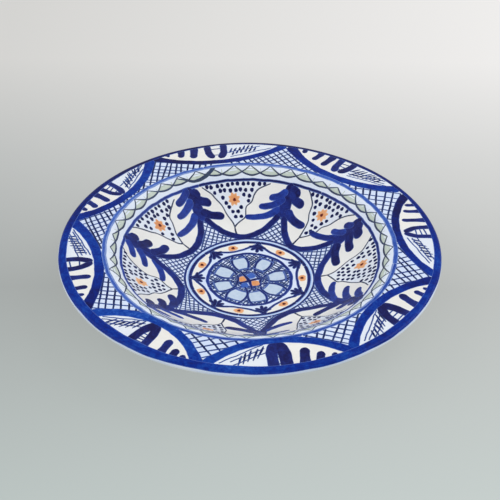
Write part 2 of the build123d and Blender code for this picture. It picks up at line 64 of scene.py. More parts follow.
# Turned form: how steep a face may be to look up or down, how near two corners count as one, the turn in
# degrees that makes a corner, and its steps round the plate and along its line. Beyond STILL_RADIUS the
# thrown form sways, and the fingers left low ridges all over it.
FACING = 0.12
SAME_CORNER = 0.25
SHARP_TURN = 45.0
SEGMENTS = 480
STATION = 1.7
STILL_RADIUS = 85.0
SWAY = 0.14
RIDGE_PITCH = 8.5
RIDGE_HEIGHT = 0.02

# Lip's band: the radius where the ground of the rim ends, its inner edge and its loads by bearing, and how
# far past the lip's outermost line it ends. The rim arcs and what hangs from the lip begin beneath it, and
# the glaze beyond BLUE_LIP looks blue from it.
RIM_BAND_FOOT = 172.5
LIP_BAND_INNER = (
    (0, 174.6), (35, 174.3), (79, 173.5), (125, 171.5), (171, 171.0),
    (215, 169.8), (260, 171.5), (304, 172.5), (348, 175.0), (360, 174.6),
)
LIP_LOADS = (
    (0, 1.0), (50, 0.85), (95, 0.5), (140, 0.6), (180, 0.45),
    (225, 0.55), (265, 0.5), (300, 0.9), (360, 1.0),
)
LIP_BAND_END = -1.4
ARC_REACH = 176.5
BLUE_LIP = 176.0
HANGING_REACH = RIM - 3.5

# Borders, as inner and outer radius.
WELL_EDGE = (134.5, 139.3)
CAVETTO_LINE = (120.0, 122.8)
PALE_RING = (57.4, 59.8)
MEDALLION_OUTER_RING = (60.2, 62.8)
MEDALLION_INNER_RING = (54.7, 58.5)
ROSETTE_RING = (38.0, 41.6)

# Bearings of the motifs.
RIM_JUNCTIONS = (324.4, 372.1, 417.0, 461.8, 507.9, 553.8, 595.9, 644.4)
STEMS = (329.8, 379.5, 421.8, 481.1, 534.1, 589.7, 641.8)
FLORETS = (351.2, 401.7, 450.1, 505.2, 560.9, 613.2, 663.8)
ALMONDS = (341.0, 396.3, 447.6, 500.7, 550.5, 605.4, 654.4)

# Rim. A place in a lunette is its share of the way across (-1 to 1) and its radius.
# Each lunette: the circle of its arc (radius at its middle, radius of the circle, how far it is set off
# clockwise) with the arc's width and its loads; root, tip and width of each comb tooth; the two strokes of
# its leaf, each with root, shoulder, tip and width; and the bars in the leaf's slit.
LUNETTES = (
    (
        (144.2, 128, 3, 7.8, (1.0, 1.0, 0.8, 0.6, 0.5)),
        ((-0.71, -0.73, 172.0, 5.2), (-0.50, -0.58, 164.8, 7.2), (-0.31, -0.41, 158.3, 7.9)),
        ((-0.12, -0.14, 162.9, -0.10, 152.0, 7.4), (0.10, 0.09, 163.5, 0.0, 150.8, 7.4)),
        2,
    ),
    (
        (142.4, 105, 0, 9.8, (0.8, 0.6, 0.5, 0.5, 0.55)),
        ((-0.72, -0.71, 168.5, 5.4), (-0.46, -0.53, 160.2, 6.2), (-0.27, -0.33, 154.3, 7.0)),
        ((-0.12, -0.12, 161.9, -0.06, 150.6, 7.2), (0.09, 0.08, 163.9, 0.0, 151.9, 7.4)),
        3,
    ),
    (
        (141.8, 106, 7, 8.4, (1.0, 0.95, 0.75, 0.6, 0.5)),
        ((-0.62, -0.68, 166.0, 5.0), (-0.46, -0.54, 159.6, 5.2), (-0.24, -0.31, 152.3, 5.8)),
        ((-0.07, -0.07, 160.9, 0.02, 149.0, 6.0), (0.15, 0.14, 160.9, 0.04, 148.6, 6.0)),
        3,
    ),
    (
        (142.4, 114, 8, 9.2, (0.9, 0.6, 0.5, 0.55, 0.5)),
        ((-0.63, -0.66, 169.6, 4.6), (-0.50, -0.53, 163.3, 6.2), (-0.26, -0.36, 153.3, 8.2)),
        ((-0.04, -0.04, 160.9, 0.03, 146.5, 9.0), (0.20, 0.19, 161.8, 0.05, 146.0, 8.6)),
        3,
    ),
    (
        (138.8, 108, 0, 9.2, (0.55, 0.45, 0.4, 0.4, 0.35)),
        ((-0.73, -0.78, 170.5, 8.0), (-0.52, -0.62, 163.4, 8.2), (-0.32, -0.42, 153.8, 9.6)),
        ((-0.09, -0.10, 157.0, -0.03, 142.5, 11.8), (0.07, 0.08, 158.0, 0.0, 142.2, 10.6)),
        2,
    ),
    (
        (139.0, 84, 1, 9.8, (0.5, 0.4, 0.35, 0.3, 0.35)),
        ((-0.70, -0.73, 167.2, 6.7), (-0.56, -0.58, 161.9, 8.2), (-0.38, -0.40, 153.5, 8.2)),
        ((-0.09, -0.09, 159.0, -0.01, 142.5, 8.6), (0.13, 0.12, 159.0, 0.01, 142.2, 9.0)),
        4,
    ),
    (
        (142.5, 128, 2, 9.9, (1.0, 0.7, 0.5, 0.45, 0.5)),
        ((-0.62, -0.67, 167.4, 4.6), (-0.49, -0.53, 160.4, 6.0), (-0.26, -0.33, 153.3, 6.6)),
        ((-0.08, -0.085, 161.5, 0.0, 148.5, 6.9), (0.12, 0.11, 161.5, 0.01, 148.2, 6.9)),
        2,
    ),
    (
        (145.0, 100, 2, 9.4, (0.6, 0.75, 0.5, 0.45, 0.45)),
        ((-0.67, -0.74, 168.3, 5.2), (-0.48, -0.60, 160.8, 6.4), (-0.26, -0.34, 154.4, 6.6)),
        ((-0.09, -0.10, 160.9, -0.03, 150.6, 5.8), (0.12, 0.08, 159.5, -0.01, 149.8, 6.2)),
        3,
    ),
)
# Hatching beside each leaf: how many ticks, where they begin and end along the fine line, how far off that
# line their rows are, their length and slant, and how far off it the rails are.
HATCHES = (
    (6, (3, 31), (5.5, 11.0), 9.0, 25, (8.5,)),
    (7, (3, 34), (5.0, 11.5), 10.0, 30, (4.0, 9.0)),
    (7, (5, 36), (6.0,), 9.5, 28, (4.0, 9.0)),
    (6, (5, 37), (7.0,), 16.5, 26, (4.5, 10.0)),
    (5, (5, 32), (7.0,), 18.0, 24, (5.0, 10.0)),
    (6, (5, 38), (6.0,), 16.0, 26, (4.0, 9.0)),
    (8, (6, 38), (6.5,), 12.0, 16, (3.0, 7.0, 11.0)),
    (8, (5, 39), (6.5,), 15.5, 30, (4.5, 10.0)),
)
# Radius of the innermost bar in each leaf's slit.
SLIT_ENDS = (157.0, 158.0, 160.0, 159.0, 161.0, 159.0, 161.0, 159.0)
# Each spandrel: heading from its bearing, and pitch, of the dark lines and then of the light ones.
SPANDRELS = (
    (39, 5.6, -49, 6.2),
    (-45, 5.6, 42, 5.8),
    (-50, 7.2, 43, 7.4),
    (45, 6.6, -34, 6.9),
    (45, 7.9, -47, 6.1),
    (-48, 9.0, 60, 6.5),
    (-56, 6.9, 42, 6.2),
    (53, 5.4, -43, 6.2),
)

# Chain border: how many cusps it has, the radius of the high ones, of the lower ones, of the scallops'
# bottoms and of the top of the wash, and a heavier stroke over it as radius and bearing. The wash is worked
# out at each tenth of a degree, and points less than SAME_LINE apart in radius count as one line.
TENTHS = 10
TURN = 360 * TENTHS
SAME_LINE = 0.4
CHAIN_CUSPS = 44
CHAIN_HIGH = 135.0
CHAIN_PEAK = 131.5
CHAIN_LOW = 126.0
CHAIN_WASH_TOP = 132.0
CHAIN_HEAVY = ((137.0, 344.7), (130.0, 341.5), (126.0, 337.0), (126.5, 332.5), (133.0, 326.5))

# Star of petals. An arc's half, from a stem (0) to the petal's middle (1), is given by share and radius,
# with its middle at PETAL_BASE. Each petal's own base lifts its lower points by their shares.
PETAL_TOP_RADIUS = 121.0
PETAL_BASE = 64.4
PETAL_HALF = (
    (0.015, 121.0), (0.035, 104.0), (0.085, 92.0), (0.25, 80.0),
    (0.53, 69.6), (0.8, 65.4), (1.0, PETAL_BASE),
)
PETAL_LIFTS = (0, 0, 0, 0.3, 0.7, 0.9, 1)
PETAL_BASES = (64.4, 63.5, 64.5, 64.5, 64.5, 67.0, 69.0)
PETAL_WIDTH = 7.2
# Trunk of each spray, and the tips of its six leaves, as distance across from the stem's bearing and
# distance out.
TRUNK = ((0, 122.5), (0, 117), (0.3, 104), (0, 91))
TRUNK_WIDTH = 12.5
SPRAYS = (
    ((8.4, 114.0), (15.0, 105.0), (20.5, 89.5), (-18.0, 111.5), (-22.0, 100.5), (-30.5, 83.5)),
    ((11.0, 113.5), (17.0, 105.5), (24.0, 86.0), (-16.5, 106.5), (-23.0, 96.5), (-31.5, 82.5)),
    ((15.5, 110.5), (21.0, 98.0), (26.0, 80.5), (-9.0, 109.5), (-14.0, 98.5), (-27.5, 83.0)),
    ((13.0, 115.0), (15.0, 104.5), (24.0, 86.5), (-19.0, 107.5), (-24.0, 92.5), (-29.5, 75.0)),
    ((11.0, 116.0), (15.0, 106.0), (28.0, 81.5), (-14.0, 114.0), (-24.5, 101.5), (-29.5, 77.5)),
    ((13.0, 110.5), (16.5, 94.5), (21.0, 79.0), (-20.5, 113.0), (-20.0, 98.0), (-30.5, 79.5)),
    ((11.0, 113.5), (15.0, 101.5), (20.0, 86.5), (-17.5, 109.5), (-20.0, 97.5), (-28.0, 78.5)),
)
LEAF_WIDTHS = (9.0, 8.4, 8.4, 6.9, 6.9, 6.9)
# Sides of each dotted fan, left and right, as points across and out from the bearing of its floret. Its
# dots stand in rows and keep a margin to its sides.
FANS = (
    (
        (
            (-3.2, 77.4), (-4.5, 82.8), (-8.1, 90.0), (-12.8, 100.0),
            (-18.0, 106.2), (-22.5, 110.7), (-31.0, 115.2),
        ),
        (
            (-3.2, 77.4), (1.8, 82.8), (9.0, 88.0), (10.8, 97.2),
            (17.1, 101.7), (20.7, 107.5), (27.0, 111.5), (37.8, 113.0),
        ),
    ),
    (
        ((-4.1, 76.5), (-5.6, 82.8), (-8.3, 93.6), (-13.0, 102.0), (-16.4, 109.8), (-27.2, 117.4)),
        (
            (-4.1, 76.5), (2.5, 83.7), (6.0, 88.5), (7.9, 95.4),
            (13.3, 100.8), (16.9, 106.2), (24.1, 112.5), (33.0, 116.0),
        ),
    ),
    (
        ((-2.2, 73.8), (-4.9, 81.0), (-13.9, 93.6), (-17.5, 102.6), (-20.2, 108.0), (-32.0, 116.0)),
        ((-2.2, 73.8), (3.0, 77.5), (12.2, 82.8), (14.4, 88.2), (24.8, 99.0), (30.2, 105.3), (42.8, 109.8)),
    ),
    (
        ((-4.0, 79.6), (-8.0, 85.0), (-12.5, 95.0), (-15.0, 105.0), (-28.0, 114.5)),
        ((-4.0, 79.6), (0.0, 83.0), (9.0, 90.4), (17.0, 101.0), (25.0, 110.0), (36.0, 113.5)),
    ),
    (
        ((-2.5, 77.8), (-7.4, 85.0), (-12.8, 92.2), (-17.3, 104.8), (-30.0, 115.0)),
        ((-2.5, 77.8), (0.7, 85.0), (8.0, 90.4), (13.3, 97.6), (16.0, 106.0), (32.0, 114.5)),
    ),
    (
        (
            (-0.7, 76.0), (-4.9, 81.4), (-11.0, 90.0), (-12.5, 96.5),
            (-19.3, 103.0), (-25.6, 112.0), (-33.7, 118.0),
        ),
        ((-0.7, 76.0), (3.2, 79.6), (14.0, 86.2), (16.7, 96.0), (24.8, 104.8), (33.8, 110.2), (42.8, 112.0)),
    ),
    (
        (
            (2.7, 79.9), (-0.9, 84.0), (-4.5, 92.5), (-9.0, 101.5),
            (-15.3, 106.9), (-23.4, 114.0), (-29.7, 117.0),
        ),
        ((2.7, 79.9), (5.4, 86.2), (8.0, 92.5), (13.5, 99.7), (17.0, 106.0), (27.0, 110.5), (34.0, 112.5)),
    ),
)
FAN_TAIL_END = 66.5
DOT_RADIUS = 1.9
DOT_ROW = 4.9
DOT_ROWS = np.arange(118.2, 80.0, -DOT_ROW)
DOT_PITCH = 5.3
DOT_MARGIN = 2.8
FLORET_RADIUS = 105.5
FLORET_REACH = 6.0
STAR_PITCH = 4.2

# Medallion. Almonds and diamonds by bearing and radius; the rosette's cells lie where its circles overlap.
# The inner and the outer end of a cell: half its angle, and how far it bulges outward. Each line of the
# cross: the bearing of its start, of its middle and of its end.
ALMOND_ARC_RADIUS = 45.0
ALMOND_DOT_RADIUS = 50.0
ROSETTE_CELLS = (29, 80, 121, 167, 204, 248, 294, 340)
ROSETTE_CELL_RADII = (18.8, 34.4)
ROSETTE_CIRCLE = 19.5
ROSETTE_CIRCLE_PLACE = 30.0
ROSETTE_LINE = 2.9
ROSETTE_PITCH = 2.7
ROSETTE_HEART = 8.0
ROSETTE_CELL_ENDS = ((19, -0.4), (13.5, 0.3))
ROSETTE_CROSS = ((72, 150, 245), (171, 240, 325))
ROSETTE_CROSS_REACH = 15.0
ORANGE_DIAMONDS = ((279, 7.2), (132, 7.4))
BLUE_DIAMONDS = ((12, 6.8), (210, 9.6))

# Floor: half its side in metres, the share of its brightness that it glows with by itself (a painted light,
# as it is no lamp), and its painted light and shade from near to far on the left and on the right: painted
# shadow darkens the floor beside the plate, most on the left, and painted light brightens it towards the far
# right.
FLOOR_REACH = 6.0
FLOOR_GLOW = 0.78
FLOOR_PAINTED_LIGHT_LEFT = ((0, (186, 195, 192)), (0.42, (166, 170, 168)), (0.72, (190, 192, 190)), (1, (213, 212, 209)))
FLOOR_PAINTED_LIGHT_RIGHT = ((0, (203, 211, 208)), (0.42, (196, 198, 195)), (0.72, (218, 218, 216)), (1, (242, 240, 238)))

# Studio: surroundings of one pale colour. Each soft box: place and size in metres, and power. All of them
# aim at one point.
SOFT_BOX_AIM = (0, 0, 0.02)
SKY = (228, 232, 238)
SKY_STRENGTH = 0.72
SOFT_BOXES = {
    "key": ((1.9, 0.8, 2.0), (2.0, 2.0), 26.0),
    "fill": ((-1.9, 0.3, 1.7), (1.8, 1.8), 14.0),
    "front": ((0.0, -1.4, 2.2), (2.2, 1.4), 12.0),
}

# Camera: how far it looks down, in degrees, how far it leans to one side, in radians, and its distance in
# radii of the plate.
CAMERA_ELEVATION = 36.96
CAMERA_LEAN = 0.01059
CAMERA_DISTANCE = 10
CAMERA_LENS = 138.1
CAMERA_SHIFT = (0.00016, -0.0034)


# ------------------------------------------------------------------ lines and surfaces


def smooth_run(points, step):
    """Curve through points, at about one step apart. A long straight stretch keeps its direction."""
    points = np.array(points, float)
    chords = np.diff(points, axis=0)
    lengths = np.linalg.norm(chords, axis=1)[:, None]
    headings = chords / lengths
    tangents = np.empty_like(points)
    tangents[1:-1] = headings[:-1] * lengths[:-1] ** 2 + headings[1:] * lengths[1:] ** 2
    tangents[1:-1] /= np.linalg.norm(tangents[1:-1], axis=1)[:, None]
    if len(points) == 2:
        tangents[:] = headings[0]
    else:
        tangents[0] = 2 * headings[0].dot(tangents[1]) * headings[0] - tangents[1]
        tangents[-1] = 2 * headings[-1].dot(tangents[-2]) * headings[-1] - tangents[-2]
    line = []
    for index, length in enumerate(lengths[:, 0]):
        t = np.linspace(0, 1, max(1, math.ceil(length / step)) + 1)[:-1, None]
        away = length * (t - 2 * t**2 + t**3) * tangents[index] + length * (t**3 - t**2) * tangents[index + 1]
        line.append(points[index] + (3 * t**2 - 2 * t**3) * chords[index] + away)
    return np.vstack([*line, points[-1:]])


def smooth_line(points, step):
    """Smooth runs between the corners where a line turns sharply."""
    points = np.array(points, float)
    chords = np.diff(points, axis=0)
    headings = np.degrees(np.unwrap(np.arctan2(chords[:, 1], chords[:, 0])))
    corners = [index + 1 for index, turn in enumerate(np.diff(headings)) if abs(turn) > SHARP_TURN]
    ends = [0, *corners, len(points) - 1]
    runs = [smooth_run(points[start : end + 1], step) for start, end in zip(ends, ends[1:])]
    return np.vstack([run[:-1] for run in runs] + [points[-1:]])


def distances(line):
    """Distance along a line at each of its points."""
    return np.concatenate([[0], np.cumsum(np.linalg.norm(np.diff(line, axis=0), axis=1))])


def turned_face(node, side):
    """Radius and height, in mm, of a turned CAD node's corners on faces that look up (1) or down (-1)."""
    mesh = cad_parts[node].data
    corners = {index for face in mesh.polygons if side * face.normal.z > FACING for index in face.vertices}
    places = [mesh.vertices[index].co / MM for index in corners]
    line = []
    for point in sorted((math.hypot(at.x, at.y), at.z) for at in places):
        if line and math.dist(point, line[-1]) < SAME_CORNER:
            continue
        if line and point[0] - line[-1][0] < SAME_CORNER / 10 and point[0] < 1:
            line[-1] = max(line[-1], point, key=lambda found: side * found[1])
            continue
        line.append(point)
    line[0] = (0.0, line[0][1]) if line[0][0] < 1 else line[0]
    return smooth_line(line, STATION)


FRONT = turned_face("front_glaze", 1)
CLAY_FRONT = turned_face("front_glaze", -1)
BACK = turned_face("back_glaze", -1)
CLAY_BACK = turned_face("back_glaze", 1)
WELL_BACK = turned_face("foot_well_glaze", -1)
WELL_CLAY = turned_face("foot_well_glaze", 1)


def sway(x, y):
    """How far the hand-thrown form strays upward from a true turned one, in mm."""
    radius = np.hypot(x, y)
    bearing = np.arctan2(x, y)
    outward = np.clip((radius - STILL_RADIUS) / (RIM - STILL_RADIUS), 0, 1)
    lean = np.cos(2 * bearing + 0.7) + 0.5 * np.cos(3 * bearing + 2.1) + 0.25 * np.cos(5 * bearing)
    ridges = RIDGE_HEIGHT * np.sin(2 * np.pi * radius / RIDGE_PITCH + bearing) * np.clip(radius / 20, 0, 1)
    return SWAY * outward**2 * (3 - 2 * outward) * lean + ridges


def glaze_height(x, y):
    """Height of the front glaze at plan points."""
    return np.interp(np.hypot(x, y), FRONT[:, 0], FRONT[:, 1]) + sway(x, y)


def spot(radius, bearing):
    """Plan point at a radius and a bearing."""
    return np.array([radius * math.sin(math.radians(bearing)), radius * math.cos(math.radians(bearing))])


def local(bearing, across, out):
    """Plan point from its distance across a bearing, clockwise, and its distance out along it."""
    return spot(out, bearing) + spot(across, bearing + 90)


def polar(x, y):
    """Radius and bearing of plan points."""
    return np.hypot(x, y), np.degrees(np.arctan2(x, y)) % 360


def off_bearing(bearing, middle):
    """Signed angle from a middle bearing, from -180 to 180."""
    return (bearing - middle + 180) % 360 - 180


def middle_and_half(marks, index):
    """Middle bearing and half the span from one mark to the next."""
    start = marks[index]
    end = marks[index + 1] if index + 1 < len(marks) else marks[0] + 360
    return (start + end) / 2, (end - start) / 2


# ------------------------------------------------------------------ materials


def to_linear(value):
    """Linear share of one part of an sRGB colour."""
    share = value / 255
    return share / 12.92 if share <= 0.04045 else ((share + 0.055) / 1.055) ** 2.4


def linear(*colour):
    """Linear colour, with alpha, of an sRGB colour out of 255."""
    return [*(to_linear(value) for value in colour), 1.0]


class Finish:
    """A node material under construction."""

    def __init__(self, name, roughness):
        self.material = bpy.data.materials.new(name)
        self.material.use_nodes = True
        self.tree = self.material.node_tree
        self.shader = self.tree.nodes["Principled BSDF"]
        self.shader.inputs["Roughness"].default_value = roughness

    def node(self, kind, inputs=None, **settings):
        made = self.tree.nodes.new(kind)
        for key, value in settings.items():
            setattr(made, key, value)
        for key, value in (inputs or {}).items():
            self.feed(made.inputs[key], value)
        return made

    def feed(self, socket, value):
        if isinstance(value, bpy.types.NodeSocket):
            self.tree.links.new(value, socket)
        else:
            socket.default_value = value

    def note(self, name):
        """A number kept at each vertex of the mesh."""
        return self.node("ShaderNodeAttribute", attribute_name=name).outputs["Fac"]

    def noise(self, scale, detail=3.0, vector=None, roughness=0.55):
        """Noise of about one feature in 1/scale metres, or along a given vector."""
        if vector is None:
            vector = self.node("ShaderNodeTexCoord").outputs["Object"]
        inputs = {"Vector": vector, "Scale": scale, "Detail": detail, "Roughness": roughness}
        return self.node("ShaderNodeTexNoise", inputs).outputs["Fac"]

    def math(self, operation, first, second, clamp=False):
        made = self.node("ShaderNodeMath", {0: first, 1: second}, operation=operation, use_clamp=clamp)
        return made.outputs[0]

    def spread(self, value, low, high, to_low=0.0, to_high=1.0):
        """A value moved from one range to another, and held inside it."""
        inputs = {"Value": value, "From Min": low, "From Max": high, "To Min": to_low, "To Max": to_high}
        return self.node("ShaderNodeMapRange", inputs).outputs["Result"]

    def ramp(self, value, stops):
        made = self.node("ShaderNodeValToRGB", {"Fac": value})
        band = made.color_ramp
        while len(band.elements) < len(stops):
            band.elements.new(0.5)
        for element, (place, colour) in zip(band.elements, stops):
            element.position = place
            element.color = linear(*colour)
        return made.outputs["Color"]

    def mix(self, share, first, second):
        made = self.node("ShaderNodeMix", data_type="RGBA")
        self.feed(made.inputs[0], share)
        self.feed(made.inputs[6], first)
        self.feed(made.inputs[7], second)
        return made.outputs[2]

    def bump(self, height, strength, distance):
        inputs = {"Height": height, "Strength": strength, "Distance": distance}
        self.feed(self.shader.inputs["Normal"], self.node("ShaderNodeBump", inputs).outputs["Normal"])

    def colour(self, value):
        self.feed(self.shader.inputs["Base Color"], value)


def glossy_skin(finish):
    """Fired glaze: slow waves, fine orange peel and a few pinholes under a thin gloss."""
    waves = finish.noise(70.0, 2.0)
    peel = finish.noise(900.0, 2.0)
    pits = finish.spread(finish.noise(420.0, 1.0), 0.26, 0.31)
    height = finish.math("ADD", finish.math("MULTIPLY", waves, 1.2), finish.math("MULTIPLY", peel, 0.08))
    finish.bump(finish.math("ADD", height, finish.math("MULTIPLY", pits, 0.12)), 0.3, 0.0006)
    finish.shader.inputs["Specular IOR Level"].default_value = 0.09


def brush_finish(name, stops, halo, streak=0.34, bleed=0.55, reach=0.6):
    """Painted colour: darker where the brush was loaded, streaked along the stroke, paler at its edges."""
    mottle = 0.3
    finish = Finish(name, 0.22)
    load = finish.note("load")
    inputs = {
        "X": finish.math("MULTIPLY", finish.note("along"), 0.07),
        "Y": finish.math("MULTIPLY", finish.note("across"), 1.5),
        "Z": finish.math("MULTIPLY", load, 40.0),
    }
    along = finish.node("ShaderNodeCombineXYZ", inputs).outputs["Vector"]
    streaks = finish.math("SUBTRACT", finish.noise(1.7, 4.0, along), 0.5)
    clouds = finish.math("SUBTRACT", finish.noise(190.0, 4.0), 0.5)
    tone = finish.math("ADD", load, finish.math("MULTIPLY", streaks, streak * 2))
    tone = finish.math("ADD", tone, finish.math("MULTIPLY", clouds, mottle * 2))
    ragged = finish.math("MULTIPLY", finish.noise(1100.0, 2.0), 0.5)
    fringe = finish.spread(finish.math("SUBTRACT", finish.note("edge"), ragged), 0.0, reach, bleed, 0.0)
    finish.colour(finish.mix(fringe, finish.ramp(tone, stops), linear(*halo)))
    glossy_skin(finish)
    return finish.material


def wash_finish(name, middle, rim):
    """Thin wash: uneven, and a little darker where it pooled at its edge."""
    finish = Finish(name, 0.2)
    clouds = finish.noise(260.0, 5.0, roughness=0.65)
    pooled = finish.spread(finish.note("edge"), 0.1, 1.6, 0.75, 0.0)
    share = finish.math("ADD", pooled, finish.spread(clouds, 0.35, 0.7, -0.15, 0.45), clamp=True)
    finish.colour(finish.mix(share, linear(*middle), linear(*rim)))
    glossy_skin(finish)
    return finish.material


def glaze_finish(name, tinted=False):
    """White tin glaze with faint specks; on the front, creamy on open ground and blue inside the lattices."""
    finish = Finish(name, 0.16)
    clouds = finish.spread(finish.noise(38.0, 4.0), 0.3, 0.72)
    ground = finish.mix(clouds, linear(226, 231, 238), linear(236, 237, 236))
    if tinted:
        creamy = finish.mix(clouds, linear(235, 229, 218), linear(241, 238, 231))
        bluish = finish.mix(clouds, linear(204, 219, 244), linear(223, 232, 250))
        ground = finish.mix(finish.note("cream"), ground, creamy)
        ground = finish.mix(finish.note("blue"), ground, bluish)
    specks = finish.spread(finish.noise(700.0, 2.0), 0.74, 0.8, 0.0, 0.35)
    finish.colour(finish.mix(specks, ground, linear(176, 158, 130)))
    glossy_skin(finish)
    return finish.material


def clay_finish(name):
    """Bare fired earthenware: buff, gritty and matt."""
    finish = Finish(name, 0.85)
    clouds = finish.noise(60.0, 5.0)
    grit = finish.spread(finish.noise(1500.0, 2.0), 0.6, 0.72)
    body = finish.ramp(clouds, ((0.3, (178, 132, 98)), (0.7, (206, 164, 128))))
    finish.colour(finish.mix(grit, body, linear(142, 96, 68)))
    finish.bump(finish.noise(1300.0, 4.0), 0.5, 0.0004)
    return finish.material


# Colour of each paint, from where the brush ran dry (0) to where it was loaded (1).
COBALT = (
    (0.0, (60, 108, 196)), (0.3, (20, 68, 160)), (0.55, (6, 42, 137)),
    (0.8, (14, 30, 108)), (1.0, (18, 19, 76)),
)
NAVY = ((0.0, (52, 92, 190)), (0.35, (37, 61, 150)), (0.7, (32, 43, 114)), (1.0, (25, 26, 80)))
DOTS = ((0.0, (34, 44, 110)), (1.0, (14, 18, 62)))
LINES = ((0.0, (96, 128, 156)), (0.4, (38, 70, 138)), (0.7, (18, 38, 106)), (1.0, (12, 18, 62)))
SOFT = ((0.0, (146, 176, 226)), (0.5, (72, 108, 190)), (1.0, (26, 56, 146)))
HAIR = ((0.0, (88, 104, 112)), (0.5, (40, 54, 92)), (1.0, (16, 22, 60)))
ORANGE = ((0.0, (240, 192, 150)), (0.5, (230, 160, 108)), (1.0, (200, 110, 62)))
RED = ((0.0, (140, 52, 40)), (1.0, (70, 16, 26)))
PALE = ((0.0, (172, 200, 240)), (1.0, (140, 176, 232)))
# Colour of the fringe where cobalt bled into the glaze.
HALO = (120, 154, 226)

CLAY = clay_finish("bare_clay")
FRONT_GLAZE = glaze_finish("white_glaze_front", tinted=True)
BACK_GLAZE = glaze_finish("white_glaze_back")
BOLD_PAINT = brush_finish("cobalt_brush", COBALT, HALO)
NAVY_PAINT = brush_finish("navy_brush", NAVY, HALO)
LINE_PAINT = brush_finish("fine_blue_line", LINES, (110, 140, 206), bleed=0.3, reach=0.25)
DOT_PAINT = brush_finish("navy_dots", DOTS, (70, 86, 150), bleed=0.5, reach=0.35)
SOFT_PAINT = brush_finish("light_cobalt", SOFT, (170, 194, 238), bleed=0.6, reach=0.8)
HAIR_PAINT = brush_finish("hair_line", HAIR, (130, 142, 160), bleed=0.25, reach=0.25)
ORANGE_PAINT = brush_finish("orange_brush", ORANGE, (244, 206, 164), streak=0.2, bleed=0.6, reach=1.2)
RED_PAINT = brush_finish("dark_red_brush", RED, (196, 110, 70))
GREEN_WASH = wash_finish("grey_green_wash", (200, 209, 197), (168, 182, 168))
BLUE_WASH = wash_finish("pale_blue_wash", (198, 212, 228), (160, 186, 214))
PALE_PAINT = brush_finish("pale_ring", PALE, (200, 216, 244))


# ------------------------------------------------------------------ pieces


def add_piece(name, corners, faces, material, nodes, notes=None):
    """A mesh in mm that rides on the plate and stands for CAD nodes."""
    mesh = bpy.data.meshes.new(name)
    mesh.from_pydata((np.asarray(corners) * MM).tolist(), [], faces)
    for key, values in (notes or {}).items():
        mesh.attributes.new(key, "FLOAT", "POINT").data.foreach_set("value", np.asarray(values, np.float32))
    mesh.shade_smooth()
    mesh.set_sharp_from_angle(angle=math.radians(38))
    mesh.materials.append(material)
    piece = bpy.data.objects.new(name, mesh)
    bpy.context.scene.collection.objects.link(piece)
    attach(piece, "root")
    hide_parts(*nodes)


def turned_mesh(outline):
    """Corners and faces of a closed outline of (radius, height) turned about the axis, with its sway."""
    angles = np.radians(np.arange(SEGMENTS) * 360 / SEGMENTS)
    corners = []
    rows = []
    for radius, height in outline:
        if radius < 1e-6:
            rows.append([len(corners)] * SEGMENTS)
            corners.append((0, 0, height))
            continue
        rows.append(range(len(corners), len(corners) + SEGMENTS))
        x = radius * np.sin(angles)
        y = radius * np.cos(angles)
        corners.extend(zip(x, y, height + sway(x, y)))
    faces = []
    for low, high in zip(rows, [*rows[1:], rows[0]]):
        for step in range(SEGMENTS):
            ahead = (step + 1) % SEGMENTS
            face = dict.fromkeys((low[step], low[ahead], high[ahead], high[step]))
            if len(face) > 2:
                faces.append(tuple(face))
    return np.array(corners), faces


def lunette_circle(index):
    """Centre and radius of the circle that a rim arc follows."""
    middle, radius, aside, *_ = LUNETTES[index][0]
    return local(middle_and_half(RIM_JUNCTIONS, index)[0], aside, middle + radius), radius


LUNETTE_CIRCLES = [lunette_circle(index) for index in range(len(RIM_JUNCTIONS))]


def in_any_lunette(x, y, grow=0.0):
    """True inside the circle of any rim arc, made larger by grow."""
    inside = np.zeros(np.shape(x), bool)
    for at, radius in LUNETTE_CIRCLES:
        inside |= np.hypot(x - at[0], y - at[1]) < radius + grow
    return inside


def petal_points(index):
    """Share of the half petal and radius of the line of a petal arc, from its stem to its middle."""
    shares, radii = np.array(PETAL_HALF).T
    return shares, radii + (PETAL_BASES[index] - PETAL_BASE) * np.array(PETAL_LIFTS)


def petal_depth(bearing):
    """Radius of the line of the petal arcs at each bearing."""
    depth = np.full(np.shape(bearing), PETAL_TOP_RADIUS)
    for index in range(len(STEMS)):
        middle, half = middle_and_half(STEMS, index)
        from_stem = 1 - np.abs(off_bearing(bearing, middle)) / half
        within = from_stem >= 0
        depth[within] = np.interp(from_stem[within], *petal_points(index))
    return depth


def fan_edges(fan, out):
    """How far across the left and the right side of a fan lie, at a distance out."""
    sides = [np.array(side).T for side in fan]
    return [np.interp(out, line_out, line_across) for line_across, line_out in sides]


def in_any_fan(x, y):
    """True in the dotted field of any petal."""
    inside = np.zeros(np.shape(x), bool)
    for bearing, fan in zip(FLORETS, FANS):
        turn = math.radians(bearing)
        across = x * math.cos(turn) - y * math.sin(turn)
        out = x * math.sin(turn) + y * math.cos(turn)
        left, right = fan_edges(fan, out)
        inside |= (out > fan[0][0][1]) & (across > left) & (across < right)
    return inside


